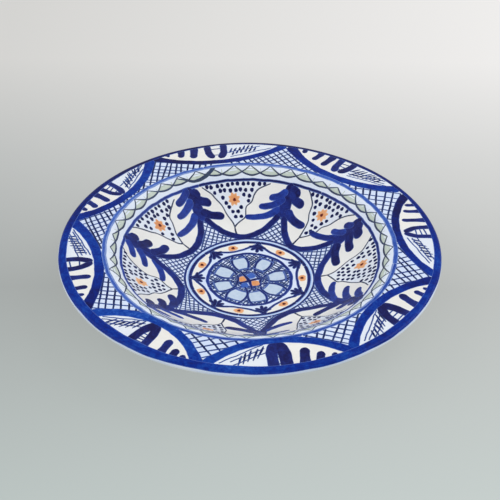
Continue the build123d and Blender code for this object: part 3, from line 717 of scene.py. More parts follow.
def ground_tints(x, y):
    """How blue and how creamy the glaze looks: blue inside the lattices, creamy on the open ground."""
    radius, bearing = polar(x, y)
    blue = np.zeros(radius.shape)
    cream = np.zeros(radius.shape)
    flange = (radius > WELL_EDGE[1]) & (radius < RIM_BAND_FOOT)
    blue[flange & ~in_any_lunette(x, y)] = 0.85
    for index in range(len(RIM_JUNCTIONS)):
        middle, half = middle_and_half(RIM_JUNCTIONS, index)
        place = off_bearing(bearing, middle) / half
        field = flange & in_any_lunette(x, y) & (np.abs(place) < 1)
        cream[field] = np.clip(0.4 - 2.5 * place[field], 0, 0.9)
        blue[field] = np.clip(1.2 * place[field], 0, 0.2)
    petals = (radius > petal_depth(bearing)) & (radius < CAVETTO_LINE[0])
    cream[petals & ~in_any_fan(x, y)] = 0.7
    blue[petals & in_any_fan(x, y)] = 0.2
    blue[(radius > MEDALLION_OUTER_RING[0]) & (radius < petal_depth(bearing))] = 0.8
    for index, middle in enumerate(ALMONDS):
        start, end = almond_ends(index)
        share = np.abs(off_bearing(bearing, middle)) / ((end - start) / 2)
        arc = ALMOND_ARC_RADIUS + (MEDALLION_INNER_RING[0] - ALMOND_ARC_RADIUS) * share**1.7
        cream[(share < 1) & (radius > arc) & (radius < MEDALLION_INNER_RING[1])] = 0.95
        blue[(share < 1) & (radius < arc)] = 0.8
    blue[(radius > CAVETTO_LINE[1]) & (radius < WELL_EDGE[1])] = 0.45
    blue[radius > BLUE_LIP] = 0.6
    return blue, cream


def glaze_pieces():
    """The three coats of glaze, and the look of the clay's own mesh."""
    corners, faces = turned_mesh(np.vstack([FRONT, CLAY_FRONT[::-1]]))
    blue, cream = ground_tints(corners[:, 0], corners[:, 1])
    notes = {"blue": blue, "cream": cream}
    add_piece("glaze_front", corners, faces, FRONT_GLAZE, ["front_glaze"], notes)
    for name, node, outer, inner in (
        ("glaze_back", "back_glaze", BACK, CLAY_BACK),
        ("glaze_foot_well", "foot_well_glaze", WELL_BACK, WELL_CLAY),
    ):
        corners, faces = turned_mesh(np.vstack([outer, inner[::-1]]))
        add_piece(name, corners, faces, BACK_GLAZE, [node])
    clay_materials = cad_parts["clay_body"].data.materials
    clay_materials.clear()
    clay_materials.append(CLAY)


# ------------------------------------------------------------------ brushwork


# Section of a wide and of a narrow stroke: places across it, and its body's height at each. Its underside
# is sunk in the glaze, its ends keep a thin edge, and its width strays by a small share. The line of a
# stroke strays less and less within STEADY_END of its ends.
WIDE = (-1.0, -0.86, -0.5, 0.0, 0.5, 0.86, 1.0)
WIDE_BODY = (0.0, 0.8, 1.0, 0.95, 1.0, 0.8, 0.0)
NARROW = (-1.0, -0.6, 0.6, 1.0)
NARROW_BODY = (0.0, 1.0, 1.0, 0.0)
SUNK = 0.05
THIN_END = 0.06
WIDTH_STRAY = 0.03
WIDE_STROKE = 2.5
STEADY_END = 6.0
STROKE_SAMPLE = 0.7
HATCH_SAMPLE = 0.6


def skin(rows, ring, closed=False):
    """Faces between rings of corners, row after row. A closed band goes round the plate, so that its last
    row meets its first, and its rings turn the other way."""
    faces = []
    for row in range(rows if closed else rows - 1):
        low = row * ring
        high = (row + 1) % rows * ring
        for index in range(ring):
            ahead = (index + 1) % ring
            across = (high + index, high + ahead, low + ahead)
            faces.append((low + index, *(across if closed else across[::-1])))
    return faces


def on_circles(radii, bearings):
    """Plan coordinates of rows of radii, one row for each bearing."""
    turn = np.radians(bearings)[:, None]
    return radii * np.sin(turn), radii * np.cos(turn)


def stretches(within):
    """First and last index of each unbroken run of True."""
    padded = np.concatenate([[False], within, [False]]).astype(int)
    starts = np.flatnonzero(np.diff(padded) == 1)
    ends = np.flatnonzero(np.diff(padded) == -1) - 1
    return list(zip(starts, ends))


class Paint:
    """One pass of paint: strokes and drops of one colour that share a mesh and a height over the glaze."""

    def __init__(self, seed, lift, body=0.09, step=1.6):
        self.chance = np.random.default_rng(seed)
        self.lift = lift
        self.body = body
        self.step = step
        self.corners = []
        self.faces = []
        self.notes = {"along": [], "across": [], "edge": [], "load": []}
        self.count = 0
        self.marks = 0

    def wander(self, along, wavelength):
        """Smooth random walk from about -1 to 1 along a stroke."""
        total = np.zeros(len(along))
        for octave in (1.0, 1.7, 2.9):
            phase = self.chance.uniform(0, 2 * np.pi)
            total += np.sin(2 * np.pi * along * octave / wavelength + phase) / octave
        return total / 1.6

    def height(self):
        """Height of the next mark: each one lies a hair over or under the last, so that none coincide."""
        self.marks += 1
        return self.lift + 0.006 * (self.marks % 7)

    def keep(self, corners, faces, **notes):
        self.corners.append(corners)
        self.faces.extend(tuple(index + self.count for index in face) for face in faces)
        for key, values in notes.items():
            self.notes[key].append(values)
        self.count += len(corners)

    def stroke(self, points, width, load, swell=(1, 1), fade=0.0, tremor=0.25, blunt=1.0):
        """One stroke through plan points. swell is its share of width from start to end, fade how much
        lighter it ends, tremor how far it strays, and blunt how long its ends are for their width."""
        line = smooth_run(points, STROKE_SAMPLE)
        run = distances(line)
        length = run[-1]
        caps = [min(blunt * width * swell[end] / 2, 0.48 * length) for end in (0, -1)]
        cap = 1 - np.cos(np.linspace(0, np.pi / 2, 5))
        inner = np.arange(1, math.ceil((length - sum(caps)) / self.step)) * self.step + caps[0]
        inner = inner[inner < length - caps[1] - 0.3 * self.step]
        along = np.concatenate([caps[0] * cap, inner, (length - caps[1] * cap)[::-1]])
        x = np.interp(along, run, line[:, 0])
        y = np.interp(along, run, line[:, 1])
        turn = np.arctan2(np.gradient(y, along), np.gradient(x, along))
        side = np.stack([-np.sin(turn), np.cos(turn)], axis=1)
        stray = tremor * self.wander(along, 24)
        for distance in (along, length - along):
            stray = stray * np.clip(distance / STEADY_END, 0, 1)
        middle = np.stack([x, y], axis=1) + side * stray[:, None]
        shares = np.interp(along / length, np.linspace(0, 1, len(swell)), swell)
        half = width / 2 * shares * (1 + WIDTH_STRAY * self.wander(along, 19))
        for cap_length, distance in zip(caps, (along, length - along)):
            half *= np.sqrt(1 - (1 - np.clip(distance / cap_length, 0, 1)) ** 2)
        half = np.maximum(half, THIN_END)
        wide = width > WIDE_STROKE
        across = np.array(WIDE if wide else NARROW)
        domed = np.array(WIDE_BODY if wide else NARROW_BODY)
        top = self.height() + self.body * domed
        top[[0, -1]] = -SUNK
        offsets = np.concatenate([across, across[-2:0:-1]])
        lifts = np.concatenate([top, np.full(len(across) - 2, -SUNK)])
        plan = middle[:, None] + side[:, None] * (half[:, None] * offsets)[..., None]
        plan = plan.reshape(-1, 2)
        rise = glaze_height(plan[:, 0], plan[:, 1]) + np.tile(lifts, len(along))
        ring = len(offsets)
        ends = [tuple(range(ring))[::-1], tuple(range((len(along) - 1) * ring, len(along) * ring))]
        loads = np.atleast_1d(load)
        shade = np.interp(along / length, np.linspace(0, 1, len(loads)), loads)
        shade = shade - fade * along / length + 0.06 * self.wander(along, 31)
        self.keep(
            np.column_stack([plan, rise]),
            ends + skin(len(along), ring),
            along=np.repeat(along + 50 * self.marks, ring),
            across=np.tile(offsets, len(along)),
            edge=(half[:, None] * (1 - np.abs(offsets))).ravel(),
            load=np.repeat(shade, ring),
        )

    def blob(self, middle, reach, load, ragged, rings=3, count=28):
        """A filled patch about a plan point. reach gives the outline's distance for an array of bearings."""
        bearings = np.arange(count) * 360 / count
        outline = reach(bearings) * (1 + ragged * self.wander(bearings, 120))
        directions = np.stack([np.sin(np.radians(bearings)), np.cos(np.radians(bearings))], axis=1)
        shares = [1.0, 0.9, *np.linspace(0.9, 0, rings)[1:-1]]
        circles = [middle + directions * (outline * share)[:, None] for share in shares]
        plan = np.vstack([*circles, middle, middle])
        over = self.height()
        lifts = [-SUNK, over + 0.8 * self.body] + [over + self.body] * (len(shares) - 2)
        lifts = np.concatenate([np.repeat(lifts, count), [over + self.body, -SUNK]])
        corners = np.column_stack([plan, glaze_height(plan[:, 0], plan[:, 1]) + lifts])
        faces = []
        for index in range(count):
            ahead = (index + 1) % count
            for row in range(len(shares) - 1):
                low = row * count
                faces.append((low + index, low + ahead, low + count + ahead, low + count + index))
            last = (len(shares) - 1) * count
            faces.append((last + index, last + ahead, last + count))
            faces.append((ahead, index, last + count + 1))
        inward = np.concatenate([np.outer(1 - np.array(shares), outline).ravel(), [outline.mean()] * 2])
        self.keep(
            corners,
            faces,
            along=plan[:, 0] + 3 * self.marks,
            across=plan[:, 1] / 4,
            edge=inward,
            load=np.full(len(corners), load),
        )

    def dot(self, middle, radius, load, ragged):
        self.blob(middle, lambda bearings: np.full(len(bearings), radius), load, ragged, count=14)

    def ring(self, edges, loads, start, tremor):
        """A line round the plate, from its inner to its outer radius, that overlaps itself where the brush
        came back to its start."""
        radius = sum(edges) / 2
        width = edges[1] - edges[0]
        bearings = np.arange(start, start + 368, 6.0)
        for first in range(0, len(bearings) - 1, 10):
            part = bearings[first : first + 11]
            if len(part) < 2:
                continue
            load = np.interp(part.mean() % 360, *zip(*loads))
            self.stroke([spot(radius, bearing) for bearing in part], width, load, tremor=tremor, blunt=0.5)

    def polar_band(self, inner, outer, load, count):
        """A closed band between two radii that are functions of the bearing."""
        bearings = np.arange(count) * 360 / count
        low = inner(bearings)
        high = np.maximum(outer(bearings), low + 0.1)
        shares = np.array([0, 0.12, 0.5, 0.88, 1, 0.75, 0.25])
        top = self.height() + self.body
        lifts = np.array([-SUNK, top, top, top, -SUNK, -SUNK, -SUNK])
        radii = low[:, None] + (high - low)[:, None] * shares
        x, y = on_circles(radii, bearings)
        rise = glaze_height(x, y) + lifts
        ring = len(shares)
        edge = np.minimum(shares, 1 - shares) * (high - low)[:, None]
        self.keep(
            np.stack([x, y, rise], axis=-1).reshape(-1, 3),
            skin(count, ring, closed=True),
            along=np.repeat(bearings, ring),
            across=np.tile(shares * 2 - 1, count),
            edge=edge.ravel(),
            load=np.full(count * ring, load),
        )

    def hatch(self, place, heading, pitch, reach, inside, width, load, bow=0.4, skew=1.5):
        """Parallel lines across a region, about one pitch apart. inside says which plan points it holds."""
        count = math.ceil(reach / pitch)
        for step in range(-count, count + 1):
            turned = math.radians(heading + self.chance.normal(0, skew))
            along = np.array([math.sin(turned), math.cos(turned)])
            out = np.array([along[1], -along[0]])
            middle = place + out * pitch * (step + self.chance.uniform(-0.13, 0.13))
            distance = np.arange(-reach, reach, HATCH_SAMPLE)
            line = middle + along * distance[:, None] + out * (bow * np.sin(distance / 16 + step))[:, None]
            within = inside(line[:, 0], line[:, 1])
            shade = load + self.chance.uniform(-0.12, 0.12)
            for start, end in stretches(within):
                if (end - start) * HATCH_SAMPLE > 1.5 * width:
                    chosen = line[np.linspace(start, end, 4).astype(int)]
                    self.stroke(chosen, width, shade, swell=(0.9, 1.05, 0.85), fade=0.1, tremor=0.15)

    def finish(self, name, material, slot, nodes):
        notes = {key: np.concatenate(values) for key, values in self.notes.items()}
        add_piece(name, np.vstack(self.corners), self.faces, material, nodes, notes)


# ------------------------------------------------------------------ rim


def lip_band():
    """Cobalt band wrapped round the lip, uneven along its inner edge and thin over the very edge."""
    half_width = 4.5
    thickness = 0.24
    over = np.array([point for point in FRONT if point[0] > RIM_BAND_FOOT - 6])
    under = np.array([point for point in BACK[::-1] if point[0] > RIM - 8])
    line = smooth_run(np.vstack([over, under[1:]]), 0.25)
    run = distances(line)
    rising = slice(0, np.argmax(line[:, 0]))
    edge = run[np.argmax(line[:, 0])]
    paint = Paint(11, 0.13)
    bearings = np.arange(SEGMENTS) * 360 / SEGMENTS
    inner = np.interp(bearings, *zip(*LIP_BAND_INNER))
    start = np.interp(inner, line[rising, 0], run[rising])
    start = start + 0.3 * paint.wander(bearings, 51.4) + 0.2 * paint.wander(bearings, 14.4)
    end = edge + LIP_BAND_END + 0.5 * paint.wander(bearings, 72) + 0.25 * paint.wander(bearings, 18)
    shares = np.array([0, 0.04, 0.2, 0.4, 0.55, 0.68, 0.78, 0.88, 0.96, 1, 0.9, 0.7, 0.5, 0.2])
    lifts = np.array([-SUNK] + [thickness] * 5 + [0.2, 0.14, 0.1] + [-SUNK] * 5)
    places = start[:, None] + (end - start)[:, None] * shares
    radius = np.interp(places, run, line[:, 0])
    height = np.interp(places, run, line[:, 1])
    slope = np.arctan2(np.gradient(line[:, 1], run), np.gradient(line[:, 0], run))
    tilt = np.interp(places, run, np.unwrap(slope))
    radius = radius - np.sin(tilt) * lifts
    height = height + np.cos(tilt) * lifts
    x, y = on_circles(radius, bearings)
    ring = len(shares)
    across = shares * 2 - 1
    load = np.interp(bearings, *zip(*LIP_LOADS)) + 0.08 * paint.wander(bearings, 30)
    paint.keep(
        np.stack([x, y, height + sway(x, y)], axis=-1).reshape(-1, 3),
        skin(SEGMENTS, ring, closed=True),
        along=np.repeat(bearings * math.radians(RIM), ring),
        across=np.tile(across, SEGMENTS),
        edge=np.tile((1 - np.abs(across)) * half_width, SEGMENTS),
        load=np.repeat(load, ring),
    )
    paint.finish("painted_lip_band", BOLD_PAINT, "cobalt", ["lip_band"])


def in_lunette(index, place, radius):
    """Point in a lunette, from its place across (-1 to 1) and its radius."""
    bearing, half = middle_and_half(RIM_JUNCTIONS, index)
    return spot(radius, bearing + place * half)


def rim_arcs():
    """The bold arc of each lunette, from the lip's band in across the flange and back."""
    paint = Paint(21, 0.05, body=0.11)
    for index, ((*_, width, loads), *_) in enumerate(LUNETTES):
        at, radius = LUNETTE_CIRCLES[index]
        out = np.hypot(*at)
        sweep = math.degrees(math.acos((out**2 + radius**2 - ARC_REACH**2) / (2 * out * radius)))
        inward = math.degrees(math.atan2(*-at))
        points = [at + spot(radius, inward + turn) for turn in np.linspace(sweep, -sweep, 9)]
        paint.stroke(points, width, loads, (1.3, 1.0, 0.97, 1.0, 0.98, 1.02, 1.25), tremor=0.2, blunt=0.7)
    paint.finish("painted_rim_arcs", BOLD_PAINT, "cobalt", ["rim_arcs"])


def under_band(index, place):
    """Where a stroke that hangs from the lip begins, hidden by the lip's band."""
    return in_lunette(index, place, HANGING_REACH)


def comb_teeth():
    """Strokes that hang from the lip, wide where the brush was set down."""
    taper = (2.0, 1.3, 1.03, 1.0, 1.05, 0.92)
    paint = Paint(22, 0.03, body=0.1)
    for index, (_, teeth, *_) in enumerate(LUNETTES):
        for root, tip, tip_radius, width in teeth:
            points = [
                under_band(index, root),
                in_lunette(index, 0.6 * root + 0.4 * tip, 0.55 * RIM_BAND_FOOT + 0.45 * tip_radius),
                in_lunette(index, tip, tip_radius),
            ]
            load = 0.8 + paint.chance.uniform(-0.12, 0.12)
            paint.stroke(points, width, load, taper, fade=-0.1, tremor=0.15)
    paint.finish("painted_rim_comb_teeth", NAVY_PAINT, "navy", ["rim_comb_teeth"])


def leaf_loops():
    """Two strokes that hang from the lip and meet in a tip, so that a slit stays white between them."""
    taper = (1.15, 1.05, 1.03, 1.08, 1.15, 0.85)
    paint = Paint(23, 0.04, body=0.1)
    for index, (_, _, leaf, _) in enumerate(LUNETTES):
        for root, shoulder, shoulder_radius, tip, tip_radius, width in leaf:
            points = [
                under_band(index, root),
                in_lunette(index, shoulder, shoulder_radius),
                in_lunette(index, 0.52 * shoulder + 0.48 * tip, 0.4 * shoulder_radius + 0.6 * tip_radius),
                in_lunette(index, tip, tip_radius),
            ]
            load = 0.78 + paint.chance.uniform(-0.12, 0.12)
            paint.stroke(points, width, load, taper, fade=-0.12, tremor=0.15)
    paint.finish("painted_rim_leaf_loops", NAVY_PAINT, "navy", ["rim_leaf_loops"])


def leaf_ticks():
    """Short bars across the unpainted slit of each leaf."""
    first = 169.5
    bar_width = 1.8
    paint = Paint(24, 0.01, body=0.05)
    for index, (_, _, leaf, ticks) in enumerate(LUNETTES):
        left, right = leaf[0][0], leaf[1][0]
        for radius in np.linspace(first, SLIT_ENDS[index], ticks):
            radius = radius + paint.chance.uniform(-0.6, 0.6)
            tilt = paint.chance.uniform(-0.8, 1.4)
            points = [in_lunette(index, left, radius - tilt), in_lunette(index, right, radius + tilt)]
            paint.stroke(points, bar_width, 0.7 + paint.chance.uniform(-0.3, 0.2), tremor=0.1)
    paint.finish("painted_rim_leaf_ticks", LINE_PAINT, "fine_line", ["rim_leaf_ticks"])


def hatch_lines():
    """Fine line from the leaf's tip up to the lip, rails above it, and slanted ticks over the rails."""
    line_width = 1.6
    line_end = 161.0
    tick_width = 2.3
    tick_taper = (0.7, 1.15, 0.95, 0.5)
    paint = Paint(25, 0.02, body=0.06, step=1.2)
    for index, (ticks, (first, last), rows, length, slant, rails) in enumerate(HATCHES):
        bearing, half = middle_and_half(RIM_JUNCTIONS, index)
        half_width = RIM_BAND_FOOT * math.sin(math.radians(half))
        leaf_tip = LUNETTES[index][2][1][4]
        start = np.array([0.15 * half_width, leaf_tip + 0.8])
        end = np.array([0.78 * half_width, line_end])
        along = (end - start) / np.linalg.norm(end - start)
        off = np.array([-along[1], along[0]])

        def line(*points, width=line_width, load=0.55, swell=(1, 1), tremor=0.4):
            ends = [local(bearing, *point) for point in points]
            ends = [place * min(1, (RIM_BAND_FOOT + 1) / math.hypot(*place)) for place in ends]
            paint.stroke(ends, width, load, swell, tremor=tremor)

        line(start, end)
        for rail in rails:
            begin = start + along * (first - 3) + off * rail
            finish = start + along * (last + 5) + off * (rail - 1.0)
            line(begin, finish, load=0.55 + paint.chance.uniform(-0.2, 0.25))
        for row in rows:
            for share in (np.arange(ticks) + 0.5) / ticks:
                out = first + share * (last - first)
                middle = start + along * out + off * (row + paint.chance.uniform(-1, 1))
                lean = math.radians(slant + paint.chance.uniform(-8, 8))
                reach = length / 2 * paint.chance.uniform(0.8, 1.12)
                way = reach * np.array([math.sin(lean), math.cos(lean)])
                load = 0.85 + paint.chance.uniform(-0.25, 0.15)
                line(middle - way, middle + way, width=tick_width, load=load, swell=tick_taper, tremor=0.25)
    paint.finish("painted_rim_hatch_lines", LINE_PAINT, "fine_line", ["rim_hatch_lines"])


def rim_lattice():
    """Crossed lines in the spandrels between the arcs."""
    middle_radius = 156
    half_angle = 24
    reach = 46
    light_width = 2.0
    dark_width = 2.25

    def spandrel(middle):
        def inside(x, y):
            radius, bearing = polar(x, y)
            near = np.abs(off_bearing(bearing, middle)) < half_angle
            on_flange = (radius > WELL_EDGE[1] - 1) & (radius < RIM_BAND_FOOT + 1)
            return near & on_flange & ~in_any_lunette(x, y, 1.5)

        return inside

    light = Paint(26, 0.025, body=0.045, step=1.3)
    dark = Paint(27, 0.055, body=0.05, step=1.3)
    for bearing, (dark_turn, dark_pitch, light_turn, light_pitch) in zip(RIM_JUNCTIONS, SPANDRELS):
        place = spot(middle_radius, bearing)
        region = spandrel(bearing % 360)
        light.hatch(place, bearing + light_turn, light_pitch, reach, region, light_width, 0.65)
        dark.hatch(place, bearing + dark_turn, dark_pitch, reach, region, dark_width, 1.0)
    light.finish("painted_rim_lattice_light", LINE_PAINT, "fine_line", ["rim_lattice"])
    dark.finish("painted_rim_lattice_dark", LINE_PAINT, "fine_line", ["rim_lattice"])


# ------------------------------------------------------------------ borders of the well


def well_edge_line():
    """Light blue line round the edge of the well, with a darker line along its inner side."""
    paint = Paint(31, 0.06)
    loads = ((0, 0.7), (90, 0.75), (150, 0.9), (200, 0.9), (270, 0.62), (330, 0.65), (360, 0.7))
    paint.ring(WELL_EDGE, loads, 100, 0.3)
    dark = [(bearing, load + 0.35) for bearing, load in loads]
    paint.ring((WELL_EDGE[0] + 0.1, WELL_EDGE[0] + 2.1), dark, 20, 0.25)
    paint.finish("painted_well_edge_line", SOFT_PAINT, "light_cobalt", ["well_edge_line"])


def cavetto_line():
    """Blue line inside the chain border."""
    paint = Paint(32, 0.06)
    loads = ((0, 1.0), (60, 0.75), (120, 0.7), (180, 0.7), (250, 0.5), (300, 0.55), (360, 1.0))
    paint.ring(CAVETTO_LINE, loads, 215, 0.25)
    paint.finish("painted_cavetto_line", NAVY_PAINT, "light_cobalt", ["cavetto_line"])


def chain_cusps():
    """Bearing and radius of each cusp of the chain, as uneven as the hand set them."""
    chance = np.random.default_rng(33)
    bearings = (np.arange(CHAIN_CUSPS) + chance.uniform(-0.14, 0.14, CHAIN_CUSPS)) * 360 / CHAIN_CUSPS
    low = chance.random(CHAIN_CUSPS) < 0.2
    radii = np.where(low, CHAIN_PEAK, CHAIN_HIGH) + chance.uniform(-0.5, 0.5, CHAIN_CUSPS)
    return bearings, radii


def scallop_points(start, end, low):
    """Points of a scallop that hangs between two cusps down to a low radius."""
    shares = np.array([0, 0.12, 0.28, 0.5, 0.72, 0.88, 1])
    falls = np.array([0, 0.45, 0.82, 1, 0.82, 0.45, 0])
    span = (end[0] - start[0]) % 360
    rims = start[1] + (end[1] - start[1]) * shares
    places = rims - falls * (rims - low)
    return [spot(radius, start[0] + share * span) for radius, share in zip(places, shares)]


def lowest_two(lines):
    """Radius of the lowest and of the second lowest line at each tenth of a degree."""
    depth = np.full(TURN, CHAIN_HIGH)
    second = np.full(TURN, CHAIN_HIGH)
    for line in lines:
        radii, bearings = polar(*smooth_run(line, 0.2).T)
        for index, radius in zip((bearings * TENTHS).astype(int) % TURN, radii):
            if radius < depth[index]:
                if abs(depth[index] - radius) > SAME_LINE:
                    second[index] = depth[index]
                depth[index] = radius
            elif radius < second[index] and radius - depth[index] > SAME_LINE:
                second[index] = radius
    return depth, second


def chain_border():
    """Scallops that each run from one cusp to the next but one, and a wash where only one of them lies."""
    line_width = 1.5
    heavy_width = 3.8
    cusps = list(zip(*chain_cusps()))
    scallops = Paint(34, 0.09, body=0.05, step=1.2)
    lines = []
    for cusp, start in enumerate(cusps):
        low = CHAIN_LOW + scallops.chance.uniform(-0.8, 0.8)
        lines.append(scallop_points(start, cusps[(cusp + 2) % CHAIN_CUSPS], low))
        load = 0.8 + scallops.chance.uniform(-0.3, 0.2)
        scallops.stroke(lines[-1], line_width, load, (0.8, 1.1, 1.2, 1.0, 0.8), tremor=0.2)
    heavy = [spot(*point) for point in CHAIN_HEAVY]
    scallops.stroke(heavy, heavy_width, 0.35, (1.0, 1.0, 0.8, 0.5, 0.3))
    scallops.finish("painted_chain_scallops", HAIR_PAINT, "fine_line", ["chain_scallops"])
    every = np.arange(TURN) / TENTHS
    depth, second = lowest_two(lines)
    second = np.minimum(second, CHAIN_WASH_TOP)
    wash = Paint(35, 0.02, body=0.03)
    wash.polar_band(
        lambda bearings: np.interp(bearings, every, depth),
        lambda bearings: np.interp(bearings, every, second),
        load=0.5,
        count=TURN // 2,
    )
    wash.finish("painted_chain_wash", GREEN_WASH, "grey_green_wash", ["chain_wash"])


# ------------------------------------------------------------------ star of petals


def petal_arcs():
    """The U of each petal, drawn in one stroke from stem to stem."""
    swell = (1.1, 1.1, 0.95, 1.0, 1.05, 1.0, 0.95, 1.1, 1.1)
    paint = Paint(41, 0.08, body=0.11)
    for index in range(len(STEMS)):
        middle, half = middle_and_half(STEMS, index)
        shares, radii = petal_points(index)
        shares = [*(shares - 1), *(1 - shares[-2::-1])]
        radii = [*radii, *radii[-2::-1]]
        points = [spot(radius, middle + share * half) for share, radius in zip(shares, radii)]
        load = 0.72 + paint.chance.uniform(-0.12, 0.12)
        paint.stroke(points, PETAL_WIDTH, load, swell, tremor=0.3)
    paint.finish("painted_petal_arcs", NAVY_PAINT, "navy", ["petal_arcs"])


def leaf_sprays():
    """A thick trunk on each stem and leaves that bend from it to their tips, darker on its clockwise side."""
    trunk_swell = (0.45, 0.85, 0.95, 1.0, 0.7)
    paint = Paint(42, 0.1, body=0.11)
    for stem, tips in zip(STEMS, SPRAYS):
        trunk = [local(stem, *point) for point in TRUNK]
        paint.stroke(trunk, TRUNK_WIDTH, (0.9, 0.85, 0.7, 0.6), trunk_swell, tremor=0.3, blunt=1.2)
        for (across, out), width in zip(tips, LEAF_WIDTHS):
            side = abs(across)
            points = [
                local(stem, 0.1 * across, out + 0.55 * side),
                local(stem, 0.55 * across, out + 0.17 * side),
                local(stem, 1.09 * across, out - 0.03 * side),
            ]
            clockwise = across > 0
            load = (0.78 if clockwise else 0.48) + paint.chance.uniform(-0.15, 0.12)
            swell = (1.3, 1.1, 0.98, 1.02, 0.95) if clockwise else (1.3, 1.1, 1.0, 0.95, 0.75)
            paint.stroke(points, width, load, swell, fade=-0.15)
    paint.finish("painted_leaf_sprays", NAVY_PAINT, "navy", ["leaf_sprays"])


def petal_outlines():
    """Waved lines that open from an apex to the border, and a short tail to the arc."""
    line_width = 1.5
    tail_width = 2.0
    paint = Paint(43, 0.05, body=0.06, step=1.2)
    for bearing, sides in zip(FLORETS, FANS):
        for side in sides:
            points = [local(bearing, *point) for point in side]
            paint.stroke(points, line_width, 0.9, (1.2, 1.0, 0.9, 1.1, 0.8), tremor=0.2)
        across, out = sides[0][0]
        end = local(bearing, across + paint.chance.uniform(-0.8, 0.8), FAN_TAIL_END)
        paint.stroke([local(bearing, across, out + 2), end], tail_width, 0.85, (0.7, 1.0, 1.2))
    paint.finish("painted_petal_outlines", HAIR_PAINT, "fine_line", ["petal_outlines"])


def petal_dots():
    """Rows of dots inside each fan, every other row set off by half a pitch, clear of the floret."""
    paint = Paint(44, 0.05, body=0.1)
    for bearing, fan in zip(FLORETS, FANS):
        for row, radius in enumerate(DOT_ROWS):
            for step in range(-8, 9):
                across = (step + 0.5 * (row % 2)) * DOT_PITCH + paint.chance.uniform(-0.8, 0.8)
                out = math.sqrt(radius**2 - across**2) + paint.chance.uniform(-0.7, 0.7)
                left, right = fan_edges(fan, out)
                inside = left + DOT_MARGIN < across < right - DOT_MARGIN
                size = DOT_RADIUS * paint.chance.uniform(0.88, 1.1)
                shade = 0.9 + paint.chance.uniform(-0.12, 0.1)
                if inside and math.hypot(across, out - FLORET_RADIUS) > FLORET_REACH + 2.0:
                    paint.dot(local(bearing, across, out), size, shade, 0.1)
    paint.finish("painted_petal_dots", DOT_PAINT, "navy", ["petal_dots"])


def petal_florets():
    """An orange floret of seven or eight lobes in each petal, with a dark red heart."""
    lobe_depth = 0.85
    unevenness = 0.35
    heart_radius = 1.8
    flowers = Paint(45, 0.05, body=0.09)
    hearts = Paint(46, 0.15, body=0.1)
    for bearing in FLORETS:
        at = spot(FLORET_RADIUS, bearing)
        turned = flowers.chance.uniform(0, 360)
        lobes = flowers.chance.integers(7, 9)

        def reach(angles):
            petals = lobe_depth * np.cos(np.radians(lobes * angles + turned))
            return FLORET_REACH - 0.5 + petals + unevenness * np.cos(np.radians(3 * angles + 2 * turned))

        flowers.blob(at, reach, 0.4 + flowers.chance.uniform(-0.15, 0.2), rings=6, ragged=0.08, count=64)
        hearts.dot(at + hearts.chance.uniform(-0.5, 0.5, 2), heart_radius, 0.75, 0.16)
    flowers.finish("painted_petal_florets", ORANGE_PAINT, "orange", ["petal_florets"])
    hearts.finish("painted_floret_hearts", RED_PAINT, "dark_red", ["floret_hearts"])


def star_lattice():
    """Crossed fine lines between the petals and the medallion."""
    middle_radius = 78
    half_angle = 28
    reach = 36
    line_width = 1.65

    def between(stem):
        def inside(x, y):
            radius, bearing = polar(x, y)
            near = np.abs(off_bearing(bearing, stem)) < half_angle
            return near & (radius > MEDALLION_OUTER_RING[1] - 0.5) & (radius < petal_depth(bearing) - 1.5)

        return inside

    paint = Paint(47, 0.03, body=0.045, step=1.2)
    for stem in STEMS:
        place = spot(middle_radius, stem)
        for turn, load in ((40, 0.95), (-50, 0.8)):
            region = between(stem % 360)
            paint.hatch(place, stem + turn, STAR_PITCH, reach, region, line_width, load, bow=0.2, skew=2.5)
    paint.finish("painted_star_lattice", LINE_PAINT, "fine_line", ["star_lattice"])


# ------------------------------------------------------------------ medallion


def medallion_rings():
    """Two blue rings round the medallion, and a pale ring between them."""
    paint = Paint(51, 0.06)
    even = ((0, 0.95), (90, 0.85), (180, 0.95), (270, 0.8), (360, 0.95))
    for radii, start in ((MEDALLION_OUTER_RING, 40), (MEDALLION_INNER_RING, 250)):
        paint.ring(radii, even, start, 0.12)
    paint.finish("painted_medallion_rings", NAVY_PAINT, "cobalt", ["medallion_rings"])
    pale = Paint(52, 0.02, body=0.04)
    pale.ring(PALE_RING, ((0, 0.3), (360, 0.3)), 120, 0.2)
    pale.finish("painted_medallion_pale_ring", PALE_PAINT, "light_cobalt", ["medallion_rings"])


def almond_ends(index):
    """Bearings of the two palmettes that an almond lies between."""
    before = ALMONDS[index - 1] - (360 if index == 0 else 0)
    after = ALMONDS[(index + 1) % len(ALMONDS)] + (360 if index == len(ALMONDS) - 1 else 0)
    return (before + ALMONDS[index]) / 2, (ALMONDS[index] + after) / 2


